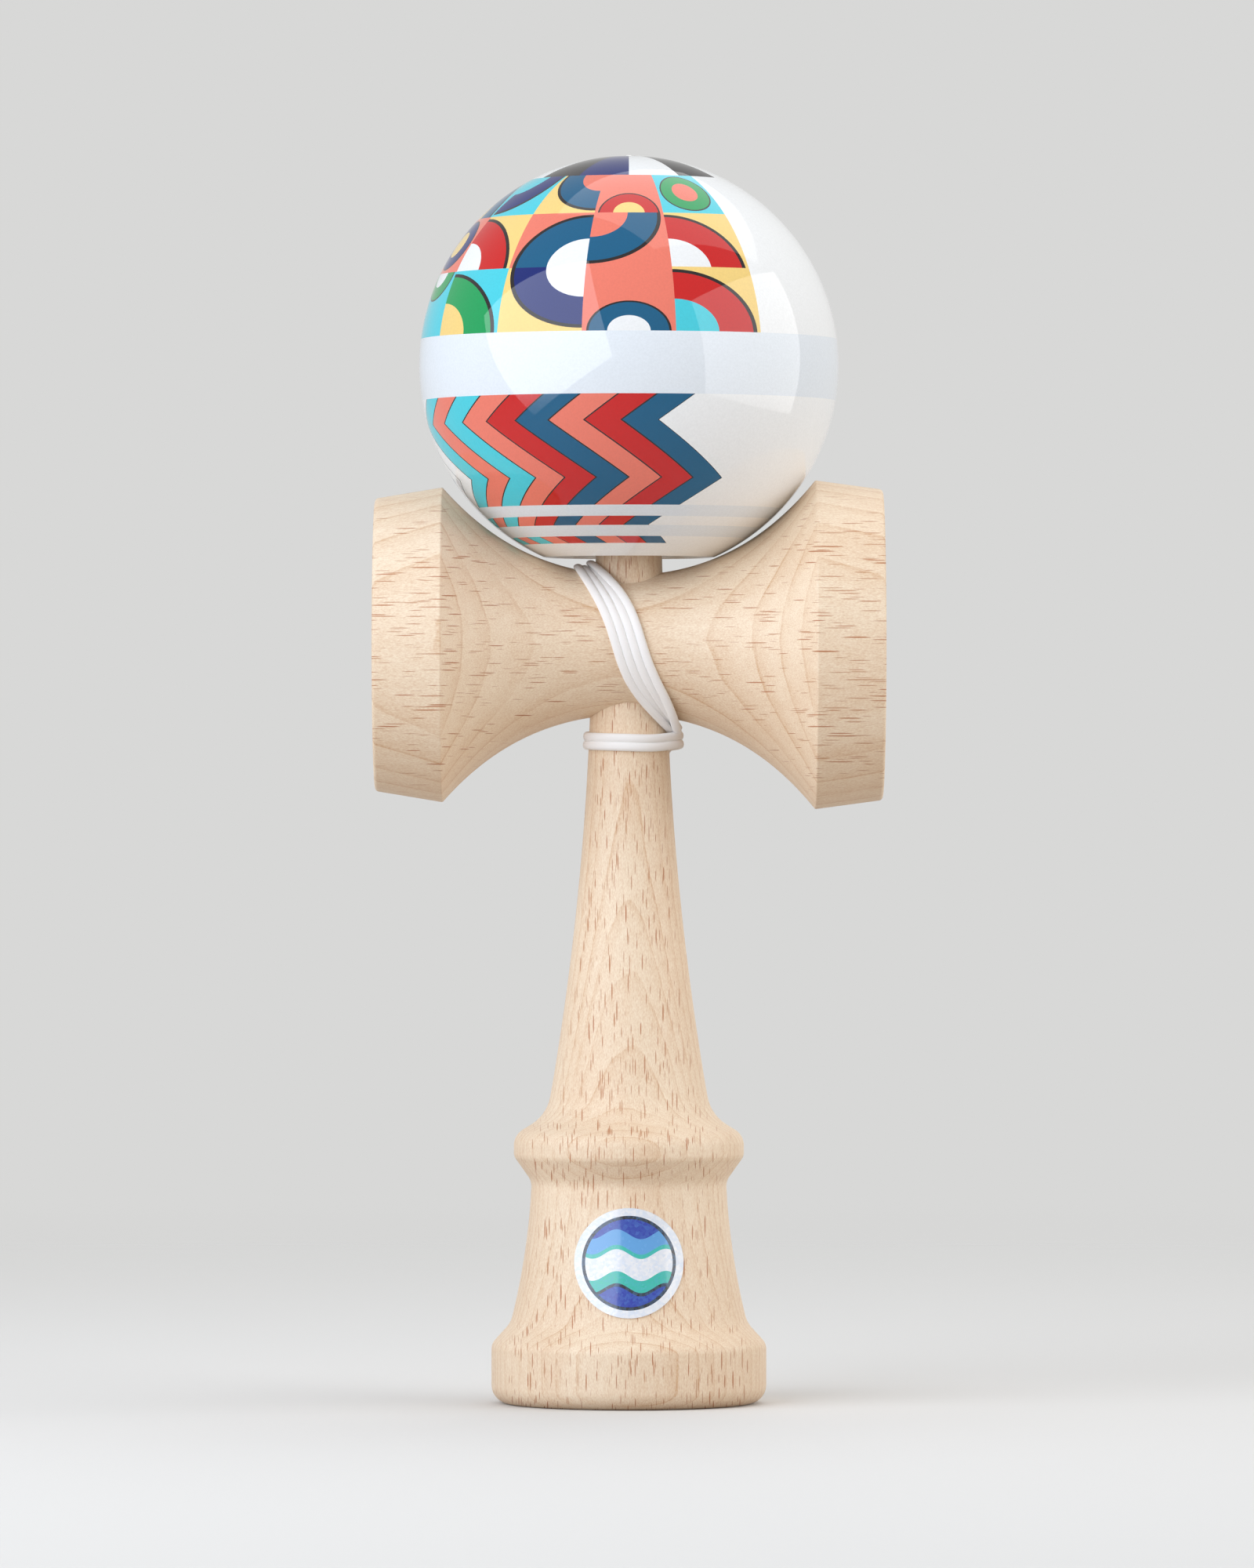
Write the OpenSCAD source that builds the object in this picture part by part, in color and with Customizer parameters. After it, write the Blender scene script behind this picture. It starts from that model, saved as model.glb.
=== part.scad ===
// Kendama: a wooden ball-and-cup toy. It stands on its base cup with the ball on the spike
// and the string lashed round the handle.
// The origin is the centre of the base rim. The front is -Y and the big cup points to +X.

/* [Ken] */
// Height of the ken, from the base rim to the tip of the spike
ken_h = 157; // [150:0.5:162]
// Diameter of the base flange
base_d = 39.3; // [38:0.1:46]
// Height of the base flange's straight side
base_h = 8.5; // [7:0.1:10]
// Rounding of the base flange's lower edge
base_round = 2.6; // [1.5:0.1:3]
// Height of the slope above the base flange
base_slope_h = 3; // [2:0.1:4]
// Diameter of the base body at its foot
body_foot_d = 33.8; // [32:0.1:36]
// Diameter of the base body at its top
body_top_d = 27.8; // [25:0.1:29]
// Height of the base body
body_h = 20.2; // [19:0.1:24]
// Diameter of the collar
collar_d = 32.9; // [31:0.1:36]
// Height of the slope under the collar
collar_under_h = 3.6; // [2.5:0.1:5]
// Height of the collar's band
collar_band_h = 3; // [2.6:0.1:5]
// Height of the slope over the collar
collar_over_h = 2.9; // [2:0.1:4]
// Diameter of the shaft at its foot
shaft_foot_d = 23.4; // [20:0.1:25]
// Diameter of the shaft where the cross-piece's taper begins
neck_d = 11.2; // [10:0.1:13]
// Radius that the taper loses for each millimetre of height
taper_share = 0.037; // [0.03:0.001:0.04]
// Diameter of the base cup inside its lip
base_cup_d = 30.4; // [28:0.1:31]
// Depth of the base cup
base_cup_depth = 7.5; // [6:0.1:10]

/* [Cross-piece] */
// Height of the cross-piece's axis above the base rim
sarado_z = 108.4; // [104:0.1:112]
// Length of the cross-piece from rim to rim
sarado_l = 72.6; // [70:0.1:80]
// Distance between the two ridges
ridge_gap = 53.3; // [50:0.1:58]
// Diameter of the waist
waist_d = 20; // [19:0.1:22]
// Diameter of the ridge on the big cup's side
big_ridge_d = 47; // [45:0.1:50]
// Diameter of the ridge on the small cup's side
small_ridge_d = 45; // [43:0.1:48]
// Outer diameter of the big cup's rim
big_rim_d = 44.4; // [42:0.1:46]
// Outer diameter of the small cup's rim
small_rim_d = 41.8; // [40:0.1:44]
// Width of the lip round each cup
lip_w = 2; // [1.5:0.1:3]
// Depth of the big cup
big_cup_depth = 10; // [7:0.1:12]
// Depth of the small cup
small_cup_depth = 8.5; // [6:0.1:11]

/* [Ball] */
// Diameter of the ball
tama_d = 60; // [58:0.1:64]
// Diameter of the ball's mouth, at the outer edge of its bevel
mouth_d = 24; // [22:0.1:26]
// Diameter of the ball's bore
bore_d = 19; // [17:0.1:20]
// Diameter of the bead inside the ball
bead_d = 6.6; // [6:0.1:7.5]

/* [String] */
// Diameter of the string
string_d = 1; // [0.8:0.05:1.1]
// Gap between neighbouring strands
strand_gap = 0.55; // [0.55:0.01:0.65]

/* [Sticker] */
// Diameter of the round sticker
sticker_d = 15.5; // [12:0.5:16]
// Thickness of the sticker
sticker_t = 0.2; // [0.15:0.05:0.4]

/* [Hidden] */

// Rounded edges
edge_round = 0.6;
ridge_round = 0.3;
shoulder_round = 1;
body_fillet = 1.8;
collar_round = 1.3;
collar_fillet = 1.5;
shaft_fillet = 4.4;
tip_round = 2;

// Gaps
overrun = 1;
fit_gap = 0.02;
seat_gap = 0.15;
tip_gap = 1.5;
knot_gap = 0.1;
lay_gap = 0.25;
neck_margin = 0.9;

// Holes and knots for the string
string_hole_d = 2.4;
string_hole_sink = 1;
string_bend_r = 1.3;
knot_d = 3.8;
knot_l = 2.6;
knot_pocket_d = 4.6;
knot_pocket_end = 1.4;
tama_hole_d = 3;
tama_hole_sink = 1.5;
bead_hole_d = 1.6;
sticker_rise = 9.2;

// Shares that shape the curves
flare_quartic_share = 0.22;
body_bow_share = 0.7;
line_share = 0.5;

// Counts of the winding, and angles in it
strand_count = 4;
shaft_turns = 2;
loop_step = 15;
slope_step = 1;
tail_turn = 30;

// Steps of the round stretches
turned_steps = 96;
small_steps = 48;
arc_step = 12;
cup_steps = 10;
body_steps = 8;
shaft_steps = 14;
flare_steps = 12;
sticker_steps = 9;
lashing_sides = 6;
lead_sides = 8;

base_r = base_d / 2;
body_foot_r = body_foot_d / 2;
body_top_r = body_top_d / 2;
collar_r = collar_d / 2;
shaft_foot_r = shaft_foot_d / 2;
neck_r = neck_d / 2;
base_cup_r = base_cup_d / 2;
waist_r = waist_d / 2;
ridge_x = ridge_gap / 2;
half_l = sarado_l / 2;
small_rim_r = small_rim_d / 2;
small_cup_r = small_rim_r - lip_w;
big_rim_r = big_rim_d / 2;
big_cup_r = big_rim_r - lip_w;
tama_r = tama_d / 2;
mouth_r = mouth_d / 2;
bore_r = bore_d / 2;

// Levels of the ken
body_foot_z = base_h + base_slope_h;
body_top_z = body_foot_z + body_h;
collar_low_z = body_top_z + collar_under_h;
collar_high_z = collar_low_z + collar_band_h;
shaft_foot_z = collar_high_z + collar_over_h;
neck_z = sarado_z - waist_r - neck_margin;
shaft_h = neck_z - shaft_foot_z;
tip_r = taper_r(ken_h);

// The ball rests on the flares with the edge of its mouth, and the bead and its knot clear the spike
mouth_z = sarado_z + max(sarado_r(mouth_r), sarado_r(-mouth_r)) + seat_gap;
tama_z = mouth_z + sqrt(tama_r * tama_r - mouth_r * mouth_r);
bead_knot_z = ken_h + tip_gap + knot_l / 2;
bead_z = bead_knot_z + knot_l / 2 + knot_gap + bead_d / 2;
bore_top_z = bead_z + bead_d / 2 + seat_gap;
anchor_knot_y = knot_pocket_end - knot_gap - knot_l / 2;

// Radius of the straight taper that the cross-piece sits on, at a height
function taper_r(z) = neck_r - taper_share * (z - neck_z);

// Radius of the shaft below the taper, at a height
function shaft_r(z) = let (drop = neck_z - z, u = drop / shaft_h)
    neck_r + taper_share * drop + (shaft_foot_r - neck_r - taper_share * shaft_h) * u * u;

// Radius of the ken at a height on its shaft or its taper
function ken_r(z) = z > neck_z ? taper_r(z) : shaft_r(z);

// Radius of the base body at a height
function body_r(z) = let (u = (body_top_z - z) / body_h)
    body_top_r + (body_foot_r - body_top_r) * ((1 - body_bow_share) * u + body_bow_share * u * u);

// Radius of the cross-piece between its ridges, at a distance from the ken's axis
function sarado_r(x) = let (u = min(1, abs(x) / ridge_x), ridge_d = x < 0 ? small_ridge_d : big_ridge_d)
    waist_r + (ridge_d / 2 - waist_r) * ((1 - flare_quartic_share) * u * u + flare_quartic_share * pow(u, 4));

function unit(v) = v / norm(v);
function smooth(t) = t * t * (3 - 2 * t);

// Points of the arc that rounds the corner at p, between its neighbours a and b
function corner_arc(a, p, b, r) =
    let (u = unit(a - p), v = unit(b - p), half = acos(u * v) / 2)
    let (start = p + u * r / tan(half), end = p + v * r / tan(half), centre = p + unit(u + v) * r / sin(half))
    let (from = atan2(start[1] - centre[1], start[0] - centre[0]))
    let (turn = atan2(end[1] - centre[1], end[0] - centre[0]) - from)
    let (sweep = turn > 180 ? turn - 360 : turn < -180 ? turn + 360 : turn)
    let (steps = max(2, ceil(abs(sweep) / arc_step)))
    [for (i = [0:steps]) centre + r * [cos(from + sweep * i / steps), sin(from + sweep * i / steps)]];

// An outline whose corners, each [across, along, rounding], are rounded
function rounded(corners) = [for (i = [0:len(corners) - 1])
    let (p = corners[i], a = corners[max(i - 1, 0)], b = corners[min(i + 1, len(corners) - 1)])
    each p[2] == 0 ? [[p[0], p[1]]]
        : corner_arc([a[0], a[1]], [p[0], p[1]], [b[0], b[1]], p[2])];

// Corners of a cup's round hollow, from its middle out to its lip at lip_place; inward is 1 or -1
function cup_corners(r, depth, lip_place, inward) = let (ball_r = (r * r + depth * depth) / (2 * depth))
    let (half = asin(r / ball_r))
    [for (i = [0:cup_steps - 1]) let (a = half * i / cup_steps)
        [ball_r * sin(a), lip_place + inward * (depth - ball_r * (1 - cos(a))), 0]];

function reversed(list) = [for (i = [1:len(list)]) list[len(list) - i]];

ken_outline = rounded(concat(
    cup_corners(base_cup_r, base_cup_depth, 0, 1),
    [[base_cup_r, 0, edge_round], [base_r, 0, base_round], [base_r, base_h, shoulder_round]],
    [[body_foot_r, body_foot_z, body_fillet]],
    [for (i = [1:body_steps - 1]) let (z = body_foot_z + body_h * i / body_steps) [body_r(z), z, 0]],
    [[body_top_r, body_top_z, collar_fillet], [collar_r, collar_low_z, collar_round]],
    [[collar_r, collar_high_z, collar_round], [shaft_foot_r, shaft_foot_z, shaft_fillet]],
    [for (i = [1:shaft_steps]) let (z = shaft_foot_z + shaft_h * i / shaft_steps) [shaft_r(z), z, 0]],
    [[tip_r, ken_h, tip_round], [0, ken_h, 0]]));

sarado_outline = rounded(concat(
    cup_corners(small_cup_r, small_cup_depth, -half_l, 1),
    [[small_cup_r, -half_l, edge_round], [small_rim_r, -half_l, edge_round]],
    [[small_ridge_d / 2, -ridge_x, ridge_round]],
    [for (i = [1 - flare_steps:flare_steps - 1]) let (x = ridge_x * i / flare_steps) [sarado_r(x), x, 0]],
    [[big_ridge_d / 2, ridge_x, ridge_round]],
    [[big_rim_r, half_l, edge_round], [big_cup_r, half_l, edge_round]],
    reversed(cup_corners(big_cup_r, big_cup_depth, half_l, -1))));

// The string's lashing lies on the wood with its strands one pitch apart. It is wound round the cross-piece,
// at an angle from the top towards the front: left of the spike over the top, right of the shaft under it
pitch = string_d + strand_gap;
lay = string_d / 2 + lay_gap;
last_strand = strand_count - 1;
crest_x = taper_r(sarado_z + waist_r) + lay + pitch / 2;
under_x = ken_r(sarado_z - waist_r - lay - pitch) + lay + pitch / 2;
function line_x(a) = let (c = cos(a), reach = (crest_x * (1 + c) + under_x * (1 - c)) / 2)
    -reach * (line_share * c + (1 - line_share) * pow(c, 3));

// On the back the strands move over, so that each turn lies beside the last
function back_shift(a) = a < 360 ? -last_strand / 2 * mid_pitch * (1 - smooth((a - 270) / 90))
    : a > 540 ? -(last_strand / 2 + 1) * mid_pitch * smooth((a - 540) / 90)
    : 0;

// The strands' slant, and the pitch along X that keeps slanting strands one pitch apart
function per_turn(rise) = rise / (2 * slope_step) * 180 / PI / (waist_r + lay);
function slant(a) = let (next = min(a + slope_step, 630), last = max(a - slope_step, 270))
    per_turn(line_x(next) + back_shift(next) - line_x(last) - back_shift(last));
mid_slant = per_turn(line_x(270 + slope_step) - line_x(270 - slope_step));
mid_pitch = pitch * sqrt(1 + mid_slant * mid_slant);
function slant_pitch(a) = a <= 270 || a >= 630 ? mid_pitch : pitch * sqrt(1 + slant(a) * slant(a));

// A point of one strand: the outer strands fold over the inner ones at the top and at the bottom
function strand_point(n, a) =
    let (side = n < strand_count / 2 ? 1 : -1, folds = n == 0 || n == last_strand)
    let (flat = 90 * smooth(abs(sin(a))))
    let (across = slant_pitch(a) * (folds ? 1 + 2 * sin(flat) : 1) / 2, rise = folds ? pitch * cos(flat) : 0)
    let (x = line_x(a) + back_shift(a) + side * across)
    let (r = sarado_r(x) + lay + rise)
    [x, -r * sin(a), sarado_z + r * cos(a)];

// The last strand goes on round the shaft, at an angle from the front towards the big cup
turn_z = strand_point(last_strand, 540)[2];
turn_end = 90 + 360 * shaft_turns + tail_turn;
function shaft_point(a) = let (z = turn_z - pitch * (a - 90) / 360, r = ken_r(z) + lay)
    [r * sin(a), -r * cos(a), z];

// The string comes straight out of the hole in the cross-piece's back and bends up into the first strand
exit_y = waist_r + lay - string_bend_r;
exit_points = concat([[0, anchor_knot_y + knot_l / 2 + knot_gap, sarado_z], [0, exit_y / 2, sarado_z]],
    [for (a = [0:2 * loop_step:90])
        [0, exit_y + string_bend_r * sin(a), sarado_z + string_bend_r * (1 - cos(a))]]);

// After the shaft the string swings out over the lashing and up behind the cross-piece
tail_points = [[4.6, 6.4, 92.2], [3.2, 8, 93.2], [1.8, 9, 95.4], [0.8, 10.2, 98.2],
    [0.3, 11.5, 100.9], [0, 12.6, 103.4]];

lashing_points = concat(exit_points,
    [for (n = [0:last_strand - 1], a = [n == 0 ? 270 + loop_step : 270:loop_step:630 - loop_step])
        strand_point(n, a)],
    [for (a = [270:loop_step:540]) strand_point(last_strand, a)],
    [for (a = [90 + loop_step:loop_step:turn_end]) shaft_point(a)],
    tail_points);

// The free stretch runs over the ball's back and down through its hole and the bead
lead_points = [[0, 12.8, 103.8], [0, 16.4, 111.4], [0, 20.2, 119.4], [0, 24, 127.3], [0, 27.9, 135.2],
    [0, 29.8, 140.4], [0, 30.8, 145.6], [0, 30.8, 151], [0, 29.8, 156.3], [0, 28, 161.4],
    [0, 25.3, 166], [0, 21.8, 170.2], [0, 17.7, 173.7], [0, 13.1, 176.4], [0, 8.1, 178.4],
    [0, 4.6, 179.2], [0, 2.6, 179], [0, 1.2, 177.8], [0, 0.4, 176], [0, 0, 174],
    [0, 0, 171], [0, 0, 168], [0, 0, 165], [0, 0, 161.4]];

// Least gap of a tube to itself, from each point to the stretches that lie further along it, and its length
function to_stretch(p, a, b) = let (t = max(0, min(1, (p - a) * (b - a) / ((b - a) * (b - a)))))
    norm(p - a - t * (b - a));
function least_gap(path, d, apart) = min([for (i = [0:len(path) - 1], j = [0:len(path) - 2])
    if (abs(i - j) > apart && abs(i - j - 1) > apart) to_stretch(path[i], path[j], path[j + 1])]) - d;
function run(path, i = 0) = i > len(path) - 2 ? 0 : norm(path[i + 1] - path[i]) + run(path, i + 1);
echo(lashing_gap = least_gap(lashing_points, string_d, 360 / loop_step / 4));
echo(lashing_length = run(lashing_points), lead_length = run(lead_points));

// A tube swept along points, its sides carried along without twist
function directions(path) = [for (i = [0:len(path) - 1])
    unit(path[min(i + 1, len(path) - 1)] - path[max(i - 1, 0)])];
function square_to(n, t) = unit(n - (n * t) * t);
function carried(t, first) = [for (i = 0, n = square_to(first, t[0]); i < len(t);
    i = i + 1, n = square_to(n, t[min(i, len(t) - 1)])) n];

module tube(path, d, sides) {
    t = directions(path);
    n = carried(t, [1, 0, 0]);
    far_end = (len(path) - 1) * sides;
    points = [for (i = [0:len(path) - 1], k = [0:sides - 1]) let (a = 360 * k / sides)
        path[i] + d / 2 * (cos(a) * n[i] + sin(a) * cross(t[i], n[i]))];
    skin = [for (i = [0:len(path) - 2], k = [0:sides - 1])
        let (a = i * sides + k, b = i * sides + (k + 1) % sides)
        each [[a, a + sides, b], [b, a + sides, b + sides]]];
    ends = [for (k = [1:sides - 2]) each [[0, k, k + 1], [far_end, far_end + k + 1, far_end + k]]];
    polyhedron(points, concat(skin, ends));
}

// A knot pulled tight: three wraps round a core, along Z
module knot() {
    wrap_r = (knot_d - string_d) / 2;
    wrap_step = (knot_l - string_d) / 2;
    cylinder(h = knot_l - string_d, r = wrap_r, center = true, $fn = small_steps);
    for (i = [-1:1])
        translate([0, 0, i * wrap_step]) rotate_extrude($fn = small_steps)
            translate([wrap_r, 0]) circle(d = string_d, $fn = small_steps);
}

module ken() {
    color("burlywood") difference() {
        rotate_extrude($fn = turned_steps) polygon(ken_outline);
        translate([0, 0, sarado_z]) rotate([-90, 0, 0])
            cylinder(h = neck_r + overrun, d = string_hole_d, $fn = small_steps);
        translate([0, -neck_r - overrun, sarado_z]) rotate([-90, 0, 0])
            cylinder(h = neck_r + overrun + knot_pocket_end, d = knot_pocket_d, $fn = small_steps);
    }
}

module sarado() {
    bore_h = 2 * (waist_r + overrun);
    low_z = sarado_z - bore_h / 2;
    sink_h = string_hole_sink + overrun;
    color("tan") difference() {
        translate([0, 0, sarado_z]) rotate([0, 90, 0])
            rotate_extrude($fn = turned_steps) polygon(sarado_outline);
        translate([0, 0, low_z]) cylinder(h = bore_h, r1 = taper_r(low_z) + fit_gap,
            r2 = taper_r(low_z + bore_h) + fit_gap, $fn = turned_steps);
        translate([0, 0, sarado_z]) rotate([-90, 0, 0])
            cylinder(h = waist_r + overrun, d = string_hole_d, $fn = small_steps);
        translate([0, waist_r - string_hole_sink, sarado_z]) rotate([-90, 0, 0])
            cylinder(h = sink_h, r1 = string_hole_d / 2, r2 = string_hole_d / 2 + sink_h, $fn = small_steps);
    }
}

module tama() {
    cap_h = tama_r - (tama_z - mouth_z) + overrun;
    bevel_h = mouth_r - bore_r;
    sink_h = tama_hole_sink + overrun;
    color("white") difference() {
        translate([0, 0, tama_z]) sphere(r = tama_r, $fn = turned_steps);
        translate([0, 0, mouth_z - cap_h])
            cylinder(h = cap_h + bevel_h, r1 = mouth_r + cap_h, r2 = bore_r, $fn = turned_steps);
        translate([0, 0, mouth_z]) cylinder(h = bore_top_z - mouth_z, r = bore_r, $fn = turned_steps);
        translate([0, 0, mouth_z]) cylinder(h = tama_d, d = tama_hole_d, $fn = small_steps);
        translate([0, 0, tama_z + tama_r - tama_hole_sink])
            cylinder(h = sink_h, r1 = tama_hole_d / 2, r2 = tama_hole_d / 2 + sink_h, $fn = small_steps);
    }
}

module bead() {
    color("saddlebrown") translate([0, 0, bead_z]) difference() {
        sphere(d = bead_d, $fn = small_steps);
        cylinder(h = bead_d + overrun, d = bead_hole_d, center = true, $fn = small_steps);
    }
}

module bead_knot() {
    color("whitesmoke") translate([0, 0, bead_knot_z]) knot();
}

module anchor_knot() {
    color("whitesmoke") translate([0, anchor_knot_y, sarado_z]) rotate([90, 0, 0]) knot();
}

module string_lashing() {
    color("whitesmoke") tube(lashing_points, string_d, lashing_sides);
}

module string_lead() {
    color("whitesmoke") tube(lead_points, string_d, lead_sides);
}

// A round decal wrapped on the front of the base body
module sticker() {
    middle_z = body_foot_z + sticker_rise;
    band_h = sticker_d + 2 * overrun;
    inner = [for (i = [0:sticker_steps]) let (z = middle_z + band_h * (i / sticker_steps - 1 / 2))
        [body_r(z) + fit_gap, z]];
    outer = [for (p = reversed(inner)) p + [sticker_t, 0]];
    color("teal") intersection() {
        rotate_extrude($fn = turned_steps) polygon(concat(inner, outer));
        translate([0, 0, middle_z]) rotate([90, 0, 0])
            cylinder(h = base_r, d = sticker_d, $fn = turned_steps);
    }
}

ken();
sarado();
tama();
bead();
bead_knot();
anchor_knot();
string_lashing();
string_lead();
sticker();
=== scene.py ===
"""Dresses the kendama: turned beech handle and cross-piece, lacquered ball, lashed string and decal."""

import logging
import math
from dataclasses import dataclass
from enum import Enum
from typing import Callable, Sequence, TypeVar

import bpy
from mathutils import Matrix, Quaternion, Vector


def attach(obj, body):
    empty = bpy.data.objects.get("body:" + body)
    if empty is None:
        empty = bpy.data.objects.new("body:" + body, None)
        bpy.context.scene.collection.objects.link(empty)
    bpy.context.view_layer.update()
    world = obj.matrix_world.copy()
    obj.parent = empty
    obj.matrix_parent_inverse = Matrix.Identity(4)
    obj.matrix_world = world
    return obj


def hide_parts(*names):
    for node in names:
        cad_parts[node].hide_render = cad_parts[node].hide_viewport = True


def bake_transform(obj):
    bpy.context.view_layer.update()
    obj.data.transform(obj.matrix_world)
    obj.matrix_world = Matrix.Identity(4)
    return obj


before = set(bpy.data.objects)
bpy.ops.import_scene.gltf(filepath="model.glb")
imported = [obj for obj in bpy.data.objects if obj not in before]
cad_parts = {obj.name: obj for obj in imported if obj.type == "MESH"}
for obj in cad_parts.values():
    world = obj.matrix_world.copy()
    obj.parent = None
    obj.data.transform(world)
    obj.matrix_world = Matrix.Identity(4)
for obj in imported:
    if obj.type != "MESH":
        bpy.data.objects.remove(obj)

LOG = logging.getLogger("kendama")
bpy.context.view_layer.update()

FULL_TURN = 2 * math.pi
ARC_STEP = math.radians(7)
SHARP_ANGLE = math.radians(32)
MERGE_DISTANCE = 2e-6
CUP_STEPS = 26
ROUND_SIDES = 96
MM_PER_M = 1000
GRAIN_GROUP = "beech_grain"
STRING_MAP = "along"
BEAD_KNOT_Z = 0.1598

# The Mix node's sockets for other kinds than colours, and where its colour comes out.
MIX_UNUSED, MIX_RESULT = (None,) * 5, 2

# Angles in degrees; those of the lashing run from the cross-piece's top to its front and on.
QUARTER, CIRCLE = 90, 360
BACK, TOP, UNDER, BACK_AGAIN = 270, 360, 540, 630

Colour = tuple[float, float, float, float]
Pair = tuple[float, float]
Triple = tuple[float, float, float]
Colours = tuple[Colour, ...]
Stop = tuple[float, Colour]
Outline = list[Pair]
Material = bpy.types.Material
Node = bpy.types.Node
Piece = bpy.types.Object
Socket = bpy.types.NodeSocket
Given = bpy.types.NodeOutputs
Item = TypeVar("Item")


def tone(red: int, green: int, blue: int) -> Colour:
    """Turns screen values of 0 to 255 into a shader colour.

    Args:
        red: Red as a screen shows it.
        green: Green as a screen shows it.
        blue: Blue as a screen shows it.

    Returns:
        The linear colour with full alpha.
    """
    def linear(value: int) -> float:
        """One channel without the screen's curve."""
        share = value / 255
        return share / 12.92 if share <= 0.04045 else ((share + 0.055) / 1.055) ** 2.4

    return linear(red), linear(green), linear(blue), 1.0


CORAL = tone(240, 126, 106)
YELLOW = tone(248, 214, 130)
CYAN = tone(70, 208, 224)
NAVY = tone(6, 32, 112)
TEAL = tone(2, 92, 132)
RED = tone(206, 20, 20)
GREEN = tone(6, 160, 88)
CHALK = tone(243, 245, 246)
PAINT = tone(247, 249, 250)
INK = tone(34, 28, 30)


class Axis(Enum):
    """The axis that a turned piece spins about."""

    X = (1.0, 0.0, 0.0)
    Z = (0.0, 0.0, 1.0)

    def place(self, across: float, along: float) -> Vector:
        """The point of the drawn outline, in the plane that holds this axis and the other one."""
        return Vector((along, 0.0, across)) if self is Axis.X else Vector((across, 0.0, along))


@dataclass(frozen=True)
class Corner:
    """A corner of a turned outline, with the radius that rounds it off."""

    across: float
    along: float
    rounding: float = 0.0


def corner_arc(before: Corner, corner: Corner, after: Corner) -> Outline:
    """Points of the arc that rounds a corner.

    Args:
        before: The corner that the outline comes from.
        corner: The corner to round.
        after: The corner that the outline goes to.

    Returns:
        The arc's points, as (across, along).
    """
    here = Vector((corner.across, corner.along))
    back = (Vector((before.across, before.along)) - here).normalized()
    ahead = (Vector((after.across, after.along)) - here).normalized()
    half = math.acos(max(-1.0, min(1.0, back.dot(ahead)))) / 2
    start = here + back * corner.rounding / math.tan(half)
    centre = here + (back + ahead).normalized() * corner.rounding / math.sin(half)
    spoke = start - centre
    bend = (math.pi - 2 * half) * (1 if back.cross(ahead) < 0 else -1)
    steps = max(2, math.ceil(abs(bend) / ARC_STEP))
    turns = [Matrix.Rotation(bend * index / steps, 2) for index in range(steps + 1)]
    return [tuple(centre + turn @ spoke) for turn in turns]


def rounded(corners: Sequence[Corner]) -> Outline:
    """An outline through corners, with each rounding drawn as an arc.

    Args:
        corners: The corners in order.

    Returns:
        The outline's points, as (across, along).
    """
    points: Outline = []
    for index, corner in enumerate(corners):
        if corner.rounding:
            points += corner_arc(corners[index - 1], corner, corners[index + 1])
        else:
            points.append((corner.across, corner.along))
    return points


def cup(radius: float, depth: float, lip: float, inward: int) -> list[Corner]:
    """A cup's round hollow, from its middle out to just short of its lip.

    Args:
        radius: The cup's radius inside its lip.
        depth: The cup's depth.
        lip: Where the lip lies along the axis.
        inward: 1 if the hollow goes up the axis from the lip, -1 if it goes down.

    Returns:
        The corners of the hollow.
    """
    ball = (radius ** 2 + depth ** 2) / (2 * depth)
    half = math.asin(radius / ball)
    turns = [half * index / CUP_STEPS for index in range(CUP_STEPS)]
    return [Corner(ball * math.sin(turn), lip + inward * (depth - ball * (1 - math.cos(turn))))
            for turn in turns]


def deselect() -> None:
    """Leaves nothing selected, so that an operator acts on the new piece alone."""
    bpy.ops.object.select_all(action="DESELECT")


def lathe(name: str, outline: Outline, axis: Axis, steps: int) -> Piece:
    """Turns a piece: one vertex is drawn out along the outline, which is then spun.

    Args:
        name: The piece's name.
        outline: Points of the outline, as (across, along).
        axis: The axis to spin about.
        steps: Number of steps in the full turn.

    Returns:
        The turned piece, at the origin.
    """
    deselect()
    bpy.ops.mesh.primitive_plane_add()
    piece = bpy.context.object
    piece.name = name
    bpy.ops.object.mode_set(mode="EDIT")
    bpy.ops.mesh.merge(type="CENTER")
    bpy.ops.transform.translate(value=axis.place(*outline[0]))
    for last, following in zip(outline, outline[1:]):
        step = axis.place(*following) - axis.place(*last)
        bpy.ops.mesh.extrude_region_move(TRANSFORM_OT_translate={"value": step})
    bpy.ops.mesh.select_all(action="SELECT")
    bpy.ops.mesh.spin(steps=steps, angle=FULL_TURN, center=(0, 0, 0), axis=axis.value)
    bpy.ops.mesh.select_all(action="SELECT")
    bpy.ops.mesh.remove_doubles(threshold=MERGE_DISTANCE)
    bpy.ops.mesh.normals_make_consistent(inside=False)
    bpy.ops.object.mode_set(mode="OBJECT")
    bpy.ops.object.shade_smooth_by_angle(angle=SHARP_ANGLE)
    return piece


def drill(piece: Piece, start: Vector, direction: Vector, depth: float, radius: float,
          end_radius: float) -> None:
    """Cuts a straight or tapered hole into a piece.

    Args:
        piece: The piece to drill.
        start: Middle of the hole's first face.
        direction: Where the hole goes, of length 1.
        depth: The hole's length.
        radius: Radius at the start.
        end_radius: Radius at the end.
    """
    deselect()
    bpy.ops.mesh.primitive_cone_add(vertices=ROUND_SIDES, radius1=radius, radius2=end_radius, depth=depth,
                                    location=start + direction * depth / 2,
                                    rotation=direction.to_track_quat("Z", "Y").to_euler())
    cutter = bpy.context.object
    deselect()
    piece.select_set(True)
    bpy.context.view_layer.objects.active = piece
    cut = piece.modifiers.new("hole", "BOOLEAN")
    cut.operation = "DIFFERENCE"
    cut.solver = "EXACT"
    cut.object = cutter
    bpy.ops.object.modifier_apply(modifier=cut.name)
    bpy.data.objects.remove(cutter)
    bpy.ops.object.shade_smooth_by_angle(angle=SHARP_ANGLE)


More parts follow.
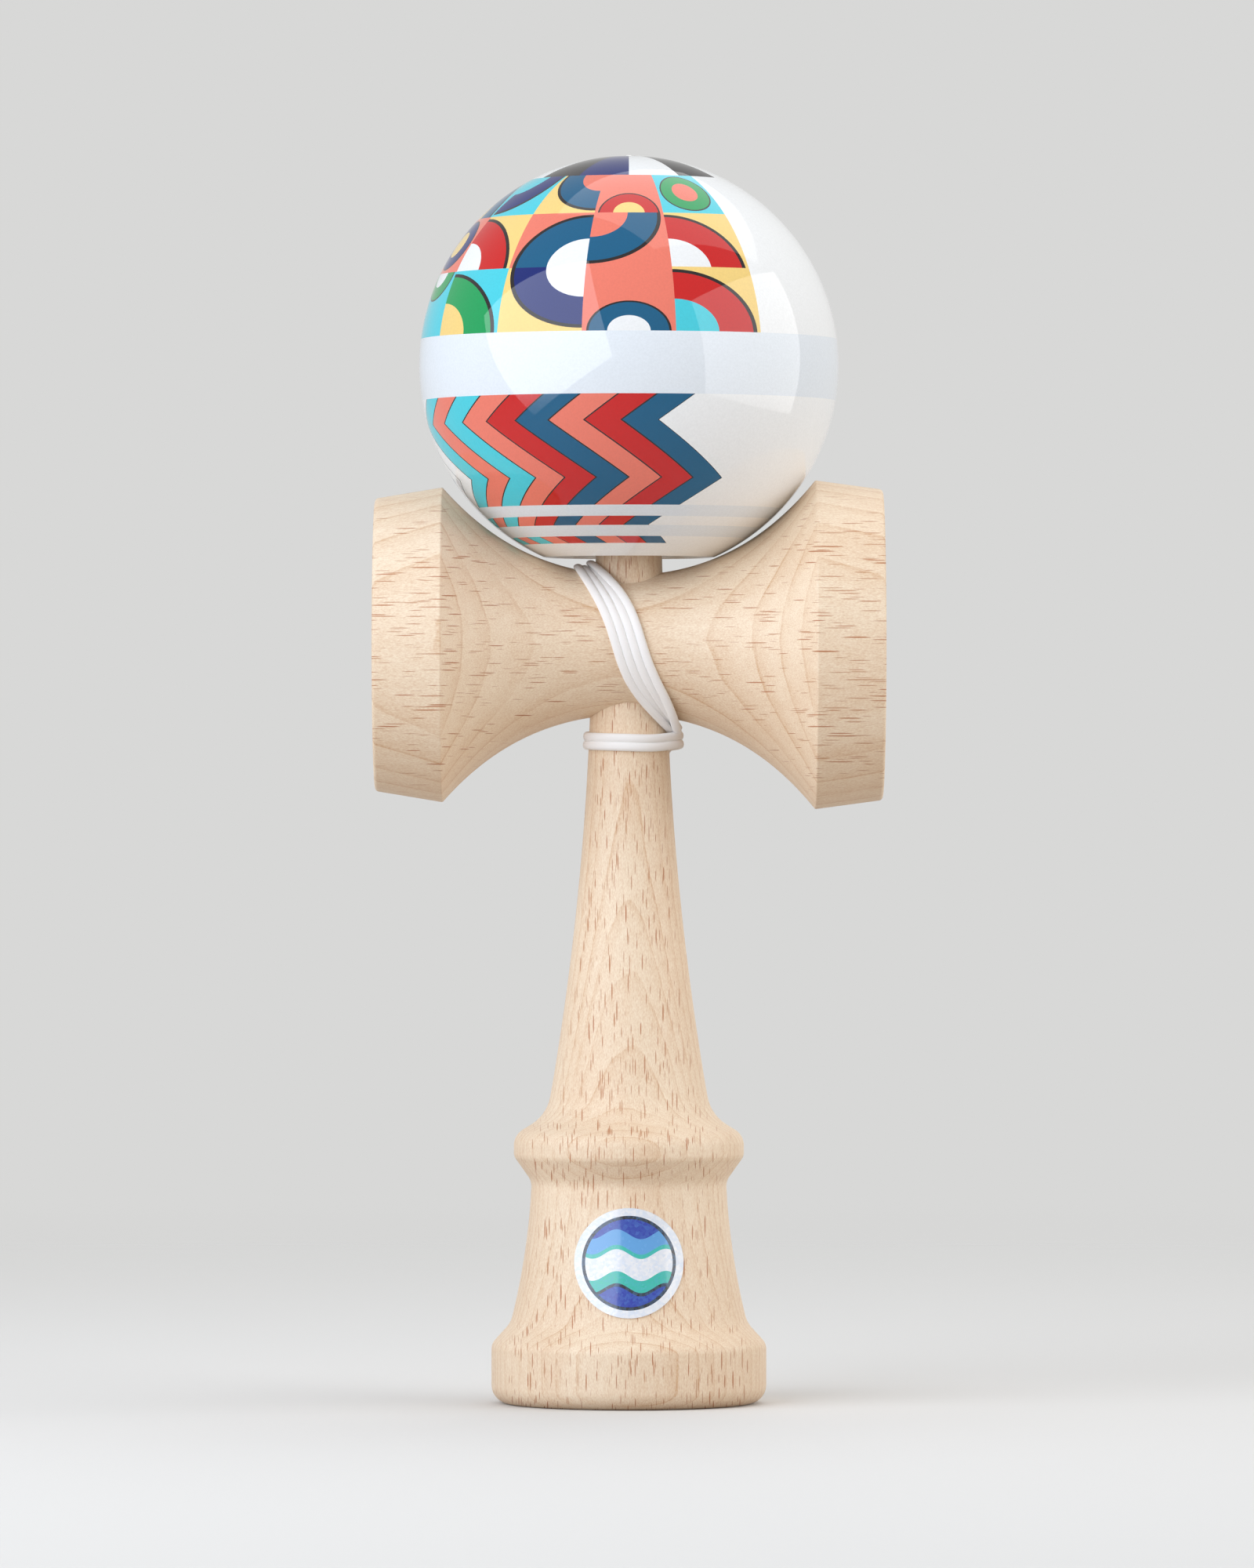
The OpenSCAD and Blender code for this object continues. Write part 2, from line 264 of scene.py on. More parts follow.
@dataclass(frozen=True)
class Noise:
    """Soft noise: the size of its features along each axis, and how much it counts."""

    cell: Triple
    weight: float
    roughness: float = 0.5
    detail: float = 1.0


def sign(operation: str) -> Callable[["Number", object], "Number"]:
    """The method for a sign between two numbers, which adds a Math node.

    Args:
        operation: The node's operation.

    Returns:
        The method.
    """
    def work(self: "Number", other: object) -> "Number":
        """This number and another one, put together by the operation."""
        return self.graph.math(operation, self, other)

    return work


class Number:
    """A number that nodes work out over a surface. Comparisons give 1 where they hold, otherwise 0."""

    __add__ = sign("ADD")
    __sub__ = sign("SUBTRACT")
    __mul__ = sign("MULTIPLY")
    __truediv__ = sign("DIVIDE")
    __gt__ = sign("GREATER_THAN")
    __lt__ = sign("LESS_THAN")

    def __init__(self, graph: "Graph", socket: Socket) -> None:
        """Takes the graph to add to and the socket that gives the number."""
        self.graph = graph
        self.socket = socket

    def __abs__(self) -> "Number":
        """The number without its sign."""
        return self.graph.math("ABSOLUTE", self)


class Graph:
    """Adds nodes to one node tree and links them."""

    def __init__(self, tree: bpy.types.NodeTree) -> None:
        """Takes the tree to work in."""
        self.tree = tree

    def add(self, kind: str, values: Sequence[object] = (), **settings: object) -> Node:
        """Adds a shader node.

        Args:
            kind: The node's type, without its prefix.
            values: What its first inputs get; None leaves one as it is.
            settings: Its properties.

        Returns:
            The node.
        """
        node = self.tree.nodes.new("ShaderNode" + kind)
        for name, value in settings.items():
            setattr(node, name, value)
        for socket, value in zip(node.inputs, values):
            if value is not None:
                self.feed(socket, value)
        return node

    def feed(self, socket: Socket, value: object) -> None:
        """Links a socket to another node's output, or sets its own value.

        Args:
            socket: The input to feed.
            value: A number of this graph, a socket or a plain value.
        """
        if isinstance(value, Number):
            value = value.socket
        if isinstance(value, Socket):
            self.tree.links.new(value, socket)
        else:
            socket.default_value = value

    def fill(self, node: Node, values: dict[str, object]) -> Node:
        """Feeds inputs of a node by name.

        Args:
            node: The node.
            values: What each named input gets.

        Returns:
            The node.
        """
        for name, value in values.items():
            self.feed(node.inputs[name], value)
        return node

    def math(self, operation: str, *values: object, clamp: bool = False) -> Number:
        """A sum on numbers, held between 0 and 1 if clamp is set."""
        return Number(self, self.add("Math", values, operation=operation, use_clamp=clamp).outputs[0])

    def vector(self, operation: str, *values: object) -> Socket:
        """A sum on vectors, with a vector result."""
        return self.add("VectorMath", values, operation=operation).outputs[0]

    def length(self, vector: Socket) -> Number:
        """The length of a vector."""
        return Number(self, self.add("VectorMath", [vector], operation="LENGTH").outputs["Value"])

    def join(self, x: object, y: object, z: object) -> Socket:
        """A vector of three numbers."""
        return self.add("CombineXYZ", (x, y, z)).outputs[0]

    def split(self, vector: Socket) -> list[Number]:
        """The three numbers of a vector or a colour."""
        return [Number(self, socket) for socket in self.add("SeparateXYZ", [vector]).outputs]

    def place(self) -> Socket:
        """The place in the piece's own coordinates."""
        return self.add("TexCoord").outputs["Object"]

    def mix(self, share: object, first: object, second: object, blend: str = "MIX") -> Socket:
        """A colour between two: the first one at a share of 0, the second one at 1."""
        values = (share, *MIX_UNUSED, first, second)
        return self.add("Mix", values, data_type="RGBA", blend_type=blend).outputs[MIX_RESULT]

    def ramp(self, share: object, stops: Sequence[Stop], sharp: bool = False) -> Socket:
        """A colour looked up along a ramp.

        Args:
            share: Where to look, from 0 to 1.
            stops: Places and colours.
            sharp: Whether each colour holds until the next place.

        Returns:
            The colour.
        """
        node = self.add("ValToRGB", [share])
        band = node.color_ramp
        band.interpolation = "CONSTANT" if sharp else "LINEAR"
        while len(band.elements) < len(stops):
            band.elements.new(1.0)
        for element, (place, colour) in zip(band.elements, stops):
            element.position = place
            element.color = colour
        return node.outputs[0]

    def pick(self, chance: Number, colours: Sequence[Colour]) -> Socket:
        """One of several colours, by a random number."""
        stops = [(index / len(colours), colour) for index, colour in enumerate(colours)]
        return self.ramp(chance, stops, sharp=True)

    def level(self, value: Number, low: float, high: float) -> Number:
        """A smooth step from 0 at low to 1 at high, which falls if low is above high."""
        limits = (low, high, 0.0, 1.0) if low < high else (high, low, 1.0, 0.0)
        return Number(self, self.add("MapRange", (value, *limits),
                                     interpolation_type="SMOOTHSTEP").outputs[0])

    def noise(self, place: Socket, noise: Noise) -> Number:
        """Soft noise at a place, from 0 to 1."""
        return Number(self, self.fill(self.add("TexNoise"), {
            "Vector": self.vector("DIVIDE", place, noise.cell), "Scale": 1.0,
            "Detail": noise.detail, "Roughness": noise.roughness}).outputs[0])

    def chances(self, cell: Socket) -> list[Number]:
        """Three random numbers from 0 to 1 for each whole-numbered cell."""
        node = self.fill(self.add("TexWhiteNoise", noise_dimensions="3D"), {"Vector": cell})
        return self.split(node.outputs["Color"])

    def cells(self, place: Socket, size: Triple, unevenness: float = 1.0) -> tuple[Number, list[Number]]:
        """Uneven cells: the distance from the nearest one's middle, and that one's three random numbers."""
        node = self.fill(self.add("TexVoronoi", feature="F1"), {
            "Vector": self.vector("DIVIDE", place, size), "Scale": 1.0, "Randomness": unevenness})
        return Number(self, node.outputs["Distance"]), self.split(node.outputs["Color"])

    def bump(self, height: object, strength: float, distance: float) -> Socket:
        """The normal of a surface with a relief of the given height."""
        return self.fill(self.add("Bump"), {
            "Strength": strength, "Distance": distance, "Height": height}).outputs[0]


def new_material(name: str) -> tuple[Material, Graph, Node]:
    """A new material with its Principled shader.

    Args:
        name: The material's name.

    Returns:
        The material, its graph and its shader node.
    """
    material = bpy.data.materials.new(name)
    material.use_nodes = True
    return material, Graph(material.node_tree), material.node_tree.nodes["Principled BSDF"]


@dataclass(frozen=True)
class BeechGrain:
    """The solid grain of beech, a node group that every wooden piece shares.

    The grain runs along Z, the growth rings lie square to Y, and places are in millimetres.
    """

    sway: Noise = Noise((22, 22, 80), 1.5)
    ripple: Noise = Noise((3.5, 3.5, 16), 0.5)
    uneven: Noise = Noise((1, 1, 4.2), 1.2, detail=0.0)
    uneven_at: Pair = (7.3, 1.9)
    bow: float = -0.0054
    ring_draw: Pair = (3.0, 7.0)
    late_wood: Pair = (0.35, 1.0)
    late_dark: Pair = (0.14, 0.08)
    line_start: Pair = (0.87, 0.965)
    line_end: Pair = (1.0, 0.98)
    line_dark: Pair = (0.30, 0.12)
    worn: Noise = Noise((7, 7, 26), 1.0)
    worn_limits: Pair = (0.30, 0.62)
    crowd_limits: Pair = (9.0, 20.0)
    broadside_limits: Pair = (0.86, 0.97)
    broadside_loss: float = -0.8
    fleck_layers: tuple[Triple, ...] = ((0.33, 5.0, 5.0), (0.27, 5.0, 3.6))
    fleck_shifts: tuple[float, ...] = (0.0, 31.7)
    fleck_unevenness: float = 0.8
    fleck_reach: float = 0.38
    fleck_edge: float = 0.10
    ground_tint: float = 0.26
    fibre: Noise = Noise((0.14, 0.14, 3.6), 0.50)
    pores: Noise = Noise((0.15, 0.15, 0.4), 0.95, roughness=0.6)
    mottle: Noise = Noise((1.1, 1.1, 4.0), 0.24)
    cloud: Noise = Noise((9, 9, 30), 0.5)
    satin: Pair = (0.16, 0.46)
    relief: Pair = (0.35, 0.25)

    def rings(self, graph: Graph, given: Given) -> Number:
        """The growth rings: late wood that darkens, and a worn line at each ring's end.

        Args:
            graph: The group's graph.
            given: The group's inputs.

        Returns:
            How dark the rings make each place.
        """
        place = given["Place"]
        x, y, z = graph.split(place)
        depth = z * given["Slope"] + y + x * x * self.bow
        uneven = graph.noise(graph.join(*self.uneven_at, depth), self.uneven)
        for share, noise in ((graph.noise(place, self.sway), self.sway),
                             (graph.noise(place, self.ripple), self.ripple), (uneven, self.uneven)):
            depth = (share - 0.5) * noise.weight + depth
        count = depth / given["Ring gap"]
        ring = graph.math("FRACT", count)
        strength = graph.chances(graph.join(graph.math("FLOOR", count), *self.ring_draw))[0]
        late = graph.level(ring, *self.late_wood) * (strength * self.late_dark[0] + self.late_dark[1])
        line = graph.level(ring, *self.line_start) * graph.level(ring, *self.line_end)
        line = line * (strength * self.line_dark[0] + self.line_dark[1])
        return late + line * graph.level(graph.noise(place, self.worn), *self.worn_limits)

    def flecks(self, graph: Graph, given: Given) -> Number:
        """The ray flecks, which fade where they would lie broadside.

        Args:
            graph: The group's graph.
            given: The group's inputs.

        Returns:
            How much of a fleck shows at each place.
        """
        x, y, z = graph.split(given["Place"])
        drawn = graph.join(x, y, z / given["Fleck length"])
        crowd = graph.level(abs(y), *self.crowd_limits) * given["Fleck crowding"] + given["Fleck share"]
        layers = []
        for size, shift in zip(self.fleck_layers, self.fleck_shifts):
            moved = graph.vector("ADD", drawn, (shift, shift, shift))
            distance, chances = graph.cells(moved, size, self.fleck_unevenness)
            inside = graph.level(chances[0] * self.fleck_reach + crowd - distance, 0.0, self.fleck_edge)
            layers.append(inside * (chances[1] * 0.5 + 0.5))
        broadside = graph.level(abs(x) / graph.length(graph.join(x, y, 0.0)), *self.broadside_limits)
        return graph.math("MAXIMUM", *layers) * (broadside * self.broadside_loss + 1.0)

    def build(self) -> None:
        """Makes the group, which puts out the wood's colour, roughness and height."""
        tree = bpy.data.node_groups.new(GRAIN_GROUP, "ShaderNodeTree")
        for way, kind, names in (
                ("INPUT", "Vector", ["Place"]),
                ("INPUT", "Float", ["Ring gap", "Slope", "Fleck length", "Fleck share", "Fleck crowding"]),
                ("INPUT", "Color", ["Light", "Dark", "Fleck"]),
                ("OUTPUT", "Color", ["Color"]), ("OUTPUT", "Float", ["Roughness", "Height"])):
            for name in names:
                tree.interface.new_socket(name, in_out=way, socket_type="NodeSocket" + kind)
        graph = Graph(tree)
        given = tree.nodes.new("NodeGroupInput").outputs
        tint = self.rings(graph, given) + self.ground_tint
        layers = (self.fibre, self.pores, self.mottle, self.cloud)
        shares = [graph.noise(given["Place"], noise) for noise in layers]
        for share, noise in zip(shares, layers):
            tint = (share - 0.5) * noise.weight + tint
        fibre, pores = shares[:2]
        colour = graph.mix(graph.math("MAXIMUM", tint, 0.0, clamp=True), given["Light"], given["Dark"])
        graph.fill(tree.nodes.new("NodeGroupOutput"), {
            "Color": graph.mix(self.flecks(graph, given), colour, given["Fleck"]),
            "Roughness": fibre * self.satin[0] + self.satin[1],
            "Height": fibre * self.relief[0] + pores * self.relief[1]})


@dataclass(frozen=True)
class BeechFinish:
    """Sanded beech with a thin satin finish."""

    name: str
    turn: Triple = (0.0, 0.0, 0.0)
    shift: Triple = (0.0, 0.0, 0.0)
    ring_gap: float = 2.3
    slope: float = 0.0
    fleck_length: float = 1.0
    fleck_share: float = 0.0
    fleck_crowding: float = 0.0
    light: Colour = tone(247, 229, 204)
    dark: Colour = tone(213, 171, 130)
    fleck: Colour = tone(184, 119, 76)
    specular: float = 0.5
    bump: Pair = (0.35, 0.00008)

    def material(self) -> Material:
        """The finish as a material.

        Returns:
            The material.
        """
        material, graph, shader = new_material(self.name)
        mapping = graph.fill(graph.add("Mapping"), {
            "Vector": graph.place(), "Location": self.shift, "Rotation": self.turn,
            "Scale": (MM_PER_M, MM_PER_M, MM_PER_M)})
        grain = graph.fill(graph.add("Group", node_tree=bpy.data.node_groups[GRAIN_GROUP]), {
            "Place": mapping.outputs[0], "Ring gap": self.ring_gap, "Slope": self.slope,
            "Fleck length": self.fleck_length, "Fleck share": self.fleck_share,
            "Fleck crowding": self.fleck_crowding,
            "Light": self.light, "Dark": self.dark, "Fleck": self.fleck})
        graph.fill(shader, {
            "Base Color": grain.outputs["Color"], "Roughness": grain.outputs["Roughness"],
            "Normal": graph.bump(grain.outputs["Height"], *self.bump), "Specular IOR Level": self.specular})
        return material


@dataclass(frozen=True)
class LacquerFinish:
    """White paint with a print of plain shapes in bright colours, under clear lacquer."""

    centre: Triple
    radius: float
    columns: int = 14
    rows: int = 3
    stripes: int = 34
    wedges: int = 12
    band_low: float = -0.00505
    band_high: float = 0.00373
    seam: float = 0.02648
    lines: tuple[Pair, ...] = ((-0.02197, -0.02044), (-0.02473, -0.02323))
    foot: float = -0.02569
    tiles_end: Pair = (0.45, 0.75)
    stripes_end: Pair = (0.20, 0.50)
    print_start: Pair = (2.6, 2.0)
    cover_loss: float = -0.92
    cover_full: float = 1.02
    tile_draws: tuple[Triple, ...] = ((0.0, 0.0, 2.0), (17.0, 29.0, 7.0), (41.0, 3.0, 13.0))
    half_disc_from: float = 0.55
    disc_from: float = 0.82
    quarter_reach: float = 0.93
    disc_loss: float = -0.49
    inner_share: float = 0.52
    rim_share: float = 0.028
    stripe_draw: Pair = (3.0, 8.0)
    stripe_middle: float = 0.6
    zigzag_count: float = 3.4
    zigzag_reach: float = 2.2
    stripe_edge: float = 0.47
    cap_draw: Pair = (5.0, 1.0)
    band: Colour = tone(233, 240, 247)
    grounds: Colours = (CORAL, YELLOW, CORAL, CYAN)
    shapes: Colours = (NAVY, TEAL, RED, TEAL, GREEN)
    accents: Colours = (YELLOW, CYAN, CORAL, CHALK)
    stripe_colours: Colours = (CORAL, TEAL, CORAL, RED, CYAN, RED, PAINT, INK, TEAL)
    cap_colours: Colours = (NAVY, PAINT, YELLOW, INK, NAVY)
    speck: Noise = Noise((0.0003, 0.0003, 0.0003), 0.10)
    speck_stops: tuple[Stop, ...] = ((0.3, (0.5, 0.5, 0.5, 1.0)), (0.7, (1.0, 1.0, 1.0, 1.0)))
    roughness: float = 0.5
    coat_roughness: float = 0.025

    def bare(self, graph: Graph, chance: Number, turn: Number, end: Pair) -> Number:
        """Where the print is left out: it thins out on the front's right side.

        Args:
            graph: The material's graph.
            chance: The random number of the tile or stripe.
            turn: Angle of its middle round the ball.
            end: Angles between which the print thins out.

        Returns:
            1 where the paint stays bare, otherwise 0.
        """
        gone = graph.level(turn, *end) * graph.level(turn, *self.print_start)
        return chance > gone * self.cover_loss + self.cover_full

    def tiles(self, graph: Graph, turn: Number, rise: Number) -> Socket:
        """Tiles with a quarter disc, a half disc or a disc in each.

        Args:
            graph: The material's graph.
            turn: Angle round the ball.
            rise: Angle above the ball's equator.

        Returns:
            The tiles' colour.
        """
        low, high = math.asin(self.band_high / self.radius), math.asin(self.seam / self.radius)
        column = turn * (self.columns / FULL_TURN) + 0.5
        row = (rise - low) * (self.rows / (high - low))
        index = graph.math("FLOOR", column)
        cell = graph.join(graph.math("FLOORED_MODULO", index, self.columns), graph.math("FLOOR", row), 0.0)
        form, colours, left_out = (graph.chances(graph.vector("ADD", cell, draw))
                                   for draw in self.tile_draws)
        across, along = ((graph.math("FRACT", place) - 0.5) * ((chance > 0.5) * 2.0 - 1.0)
                         for place, chance in ((column, form[0]), (row, form[1])))
        half, whole = form[2] > self.half_disc_from, form[2] > self.disc_from
        spread = graph.length(graph.join(half * -0.5 + 0.5 + across, whole * -0.5 + 0.5 + along, 0.0))
        spread = spread / (half * self.disc_loss + self.quarter_reach)
        colour = graph.pick(colours[0], self.grounds)
        colour = graph.mix(spread < 1.0, colour, graph.pick(colours[1], self.shapes))
        colour = graph.mix(spread < self.inner_share, colour, graph.pick(colours[2], self.accents))
        colour = graph.mix(abs(spread - 1.0) < self.rim_share, colour, INK)
        bare = self.bare(graph, left_out[0], index * (FULL_TURN / self.columns), self.tiles_end)
        return graph.mix(bare, colour, PAINT)

    def chevrons(self, graph: Graph, turn: Number, rise: Number) -> Socket:
        """Zigzag stripes of uneven colours round the ball.

        Args:
            graph: The material's graph.
            turn: Angle round the ball.
            rise: Angle above the ball's equator.

        Returns:
            The stripes' colour.
        """
        zigzag = graph.math("PINGPONG", rise * self.zigzag_count, 1.0)
        place = turn * (self.stripes / FULL_TURN) + zigzag * self.zigzag_reach
        stripe = graph.math("FLOOR", place)
        cell = graph.join(graph.math("FLOORED_MODULO", stripe, self.stripes), *self.stripe_draw)
        chances = graph.chances(cell)
        edge = abs(graph.math("FRACT", place) - 0.5) > self.stripe_edge
        colour = graph.mix(edge, graph.pick(chances[0], self.stripe_colours), INK)
        middle = (stripe - self.stripe_middle) * (FULL_TURN / self.stripes)
        return graph.mix(self.bare(graph, chances[1], middle, self.stripes_end), colour, PAINT)

    def material(self) -> Material:
        """The finish as a material.

        Returns:
            The material.
        """
        material, graph, shader = new_material("tama_lacquer")
        place = graph.vector("SUBTRACT", graph.place(), self.centre)
        x, y, z = graph.split(place)
        turn = graph.math("ARCTAN2", x, y * -1.0)
        rise = graph.math("ARCSINE", z / self.radius)
        wedge = graph.math("FLOOR", turn * (self.wedges / FULL_TURN))
        cap = graph.pick(graph.chances(graph.join(wedge, *self.cap_draw))[0], self.cap_colours)
        colour = graph.mix(z > 0.0, self.chevrons(graph, turn, rise), self.tiles(graph, turn, rise))
        colour = graph.mix(z > self.seam, colour, cap)
        colour = graph.mix(z < self.foot, colour, PAINT)
        for low, high in ((self.band_low, self.band_high), *self.lines):
            colour = graph.mix((z > low) * (z < high), colour, self.band)
        specks = graph.ramp(graph.noise(place, self.speck), self.speck_stops)
        graph.fill(shader, {
            "Base Color": graph.mix(self.speck.weight, colour, specks, "MULTIPLY"),
            "Roughness": self.roughness, "Specular IOR Level": 0.0,
            "Coat Weight": 1.0, "Coat Roughness": self.coat_roughness})
        return material


@dataclass(frozen=True)
class BraidFinish:
    """White braided nylon, with the braid's fine slanting strands and painted shade in the gaps between
    them.
    """

    strands: float = 7.0
    lay_length: float = 0.0011
    # Painted shade: the colour in the gaps between braid strands, darker than the nylon at the crests.
    gap_painted_shade: Stop = (0.55, tone(212, 213, 214))
    crests: Stop = (1.0, tone(235, 237, 238))
    soil: Noise = Noise((0.004, 0.004, 0.004), 0.12, detail=2.0)
    soiled: Colour = tone(226, 221, 214)
    gloss: Pair = (-0.15, 0.62)
    bump: Pair = (0.5, 0.00006)
    sheen: float = 0.15

    def material(self) -> Material:
        """The finish as a material, which follows the string's own map.

        Returns:
            The material.
        """
        material, graph, shader = new_material("string_nylon")
        around, along, _ = graph.split(graph.add("UVMap", uv_map=STRING_MAP).outputs[0])
        slant = along / self.lay_length
        count = around * self.strands
        crowns = [abs(graph.math("SINE", way * math.pi)) for way in (count + slant, count - slant)]
        braid = graph.math("MAXIMUM", *crowns)
        soil = graph.noise(graph.place(), self.soil) * self.soil.weight
        graph.fill(shader, {
            # The braid's gaps get a painted shade, a darker colour than the nylon at the crests.
            "Base Color": graph.mix(soil, graph.ramp(braid, (self.gap_painted_shade, self.crests)), self.soiled),
            "Roughness": braid * self.gloss[0] + self.gloss[1],
            "Normal": graph.bump(braid, *self.bump), "Sheen Weight": self.sheen})
        return material


@dataclass(frozen=True)
class DecalFinish:
    """A printed film: rings round a field of plain waves."""

    middle: Triple
    radius: float
    blue: Colour = tone(38, 58, 168)
    sky: Colour = tone(96, 164, 224)
    teal: Colour = tone(52, 190, 170)
    white: Colour = tone(240, 242, 246)
    ink: Colour = tone(34, 32, 38)
    wave_count: float = 7.0
    wave_height: float = 0.09
    line_r: float = 0.80
    border_r: float = 0.86
    glint_cell: Triple = (0.05, 0.05, 0.05)
    glint_share: float = 0.22
    gloss: Pair = (0.12, 0.16)
    coat: float = 0.6
    coat_roughness: float = 0.06

    def material(self) -> Material:
        """The finish as a material.

        Returns:
            The material.
        """
        material, graph, shader = new_material("sticker_film")
        place = graph.vector("SUBTRACT", graph.place(), self.middle)
        place = graph.vector("DIVIDE", place, (self.radius, self.radius, self.radius))
        x, _, z = graph.split(place)
        spread = graph.math("SQRT", x * x + z * z)
        wave = graph.math("SINE", x * self.wave_count) * self.wave_height + z
        colour = graph.ramp(wave * 0.5 + 0.5, [
            (0.0, self.blue), (0.24, self.ink), (0.27, self.teal), (0.38, self.white),
            (0.58, self.teal), (0.62, self.sky), (0.76, self.blue)], sharp=True)
        colour = graph.mix((spread > self.line_r) * (spread < self.border_r), colour, self.ink)
        colour = graph.mix(spread > self.border_r, colour, self.white)
        glint = graph.cells(place, self.glint_cell)[1][0]
        graph.fill(shader, {
            "Base Color": graph.mix(glint * self.glint_share, colour, self.sky),
            "Roughness": glint * self.gloss[0] + self.gloss[1],
            "Coat Weight": self.coat, "Coat Roughness": self.coat_roughness})
        return material


@dataclass
class Ken:
    """The handle: a turned shaft with a base cup, a collar and the spike."""

    height: float = 0.157
    base_r: float = 0.01965
    base_h: float = 0.0085
    base_round: float = 0.0026
    base_slope_h: float = 0.003
    body_foot_r: float = 0.0169
    body_top_r: float = 0.0139
    body_h: float = 0.0202
    collar_r: float = 0.01645
    collar_under_h: float = 0.0036
    collar_band_h: float = 0.003
    collar_over_h: float = 0.0029
    shaft_foot_r: float = 0.0117
    neck_r: float = 0.0056
    neck_z: float = 0.0975
    taper_share: float = 0.037
    body_bow_share: float = 0.7
    cup_r: float = 0.0152
    cup_depth: float = 0.0075
    edge_round: float = 0.0006
    shoulder_round: float = 0.002
    body_fillet: float = 0.004
    collar_under_round: float = 0.0016
    collar_over_round: float = 0.0026
    collar_fillet: float = 0.0025
    shaft_fillet: float = 0.006
    tip_round: float = 0.002
    body_parts: int = 20
    body_drawn: range = range(2, 18)
    shaft_parts: int = 40
    shaft_drawn: range = range(4, 41)
    steps: int = 160

    def __post_init__(self) -> None:
        """Works out the heights of the body and the shaft, and how far each flares."""
        self.body_foot_z = self.base_h + self.base_slope_h
        self.body_top_z = self.body_foot_z + self.body_h
        self.shaft_foot_z = self.body_top_z + self.collar_under_h + self.collar_band_h + self.collar_over_h
        self.shaft_h = self.neck_z - self.shaft_foot_z
        self.shaft_flare = self.shaft_foot_r - self.neck_r - self.taper_share * self.shaft_h
        self.body_flare = self.body_foot_r - self.body_top_r

    def radius(self, z: float) -> float:
        """Radius of the shaft or of the taper above it.

        Args:
            z: The height.

        Returns:
            The radius there.
        """
        drop = self.neck_z - z
        bow = (max(0.0, drop) / self.shaft_h) ** 2
        return self.neck_r + self.taper_share * drop + self.shaft_flare * bow

    def body_radius(self, z: float) -> float:
        """Radius of the base body at a height."""
        share = (self.body_top_z - z) / self.body_h
        return self.body_top_r + self.body_flare * share * (1 + self.body_bow_share * (share - 1))

    def outline(self) -> Outline:
        """The outline from the middle of the base cup up to the spike's tip.

        Returns:
            The outline's points.
        """
        body = [self.body_foot_z + self.body_h * index / self.body_parts for index in self.body_drawn]
        shaft = [self.shaft_foot_z + self.shaft_h * index / self.shaft_parts for index in self.shaft_drawn]
        collar_low = self.body_top_z + self.collar_under_h
        collar_high = collar_low + self.collar_band_h
        return rounded([
            *cup(self.cup_r, self.cup_depth, 0, 1),
            Corner(self.cup_r, 0, self.edge_round),
            Corner(self.base_r, 0, self.base_round),
            Corner(self.base_r, self.base_h, self.shoulder_round),
            Corner(self.body_foot_r, self.body_foot_z, self.body_fillet),
            *(Corner(self.body_radius(z), z) for z in body),
            Corner(self.body_top_r, self.body_top_z, self.collar_fillet),
            Corner(self.collar_r, collar_low, self.collar_under_round),
            Corner(self.collar_r, collar_high, self.collar_over_round),
            Corner(self.shaft_foot_r, self.shaft_foot_z, self.shaft_fillet),
            *(Corner(self.radius(z), z) for z in shaft),
            Corner(self.radius(self.height), self.height, self.tip_round),
            Corner(0, self.height)])

    def build(self) -> Piece:
        """Turns the handle and dresses it.

        Returns:
            The handle.
        """
        piece = lathe("ken_turned", self.outline(), Axis.Z, self.steps)
        finish = BeechFinish("ken_beech", shift=(0.0, 1.62, 11.0), ring_gap=1.3, slope=-0.006,
                             fleck_length=0.95, fleck_share=-0.005)
        piece.data.materials.append(finish.material())
        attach(piece, "handle")
        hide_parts("ken")
        return piece


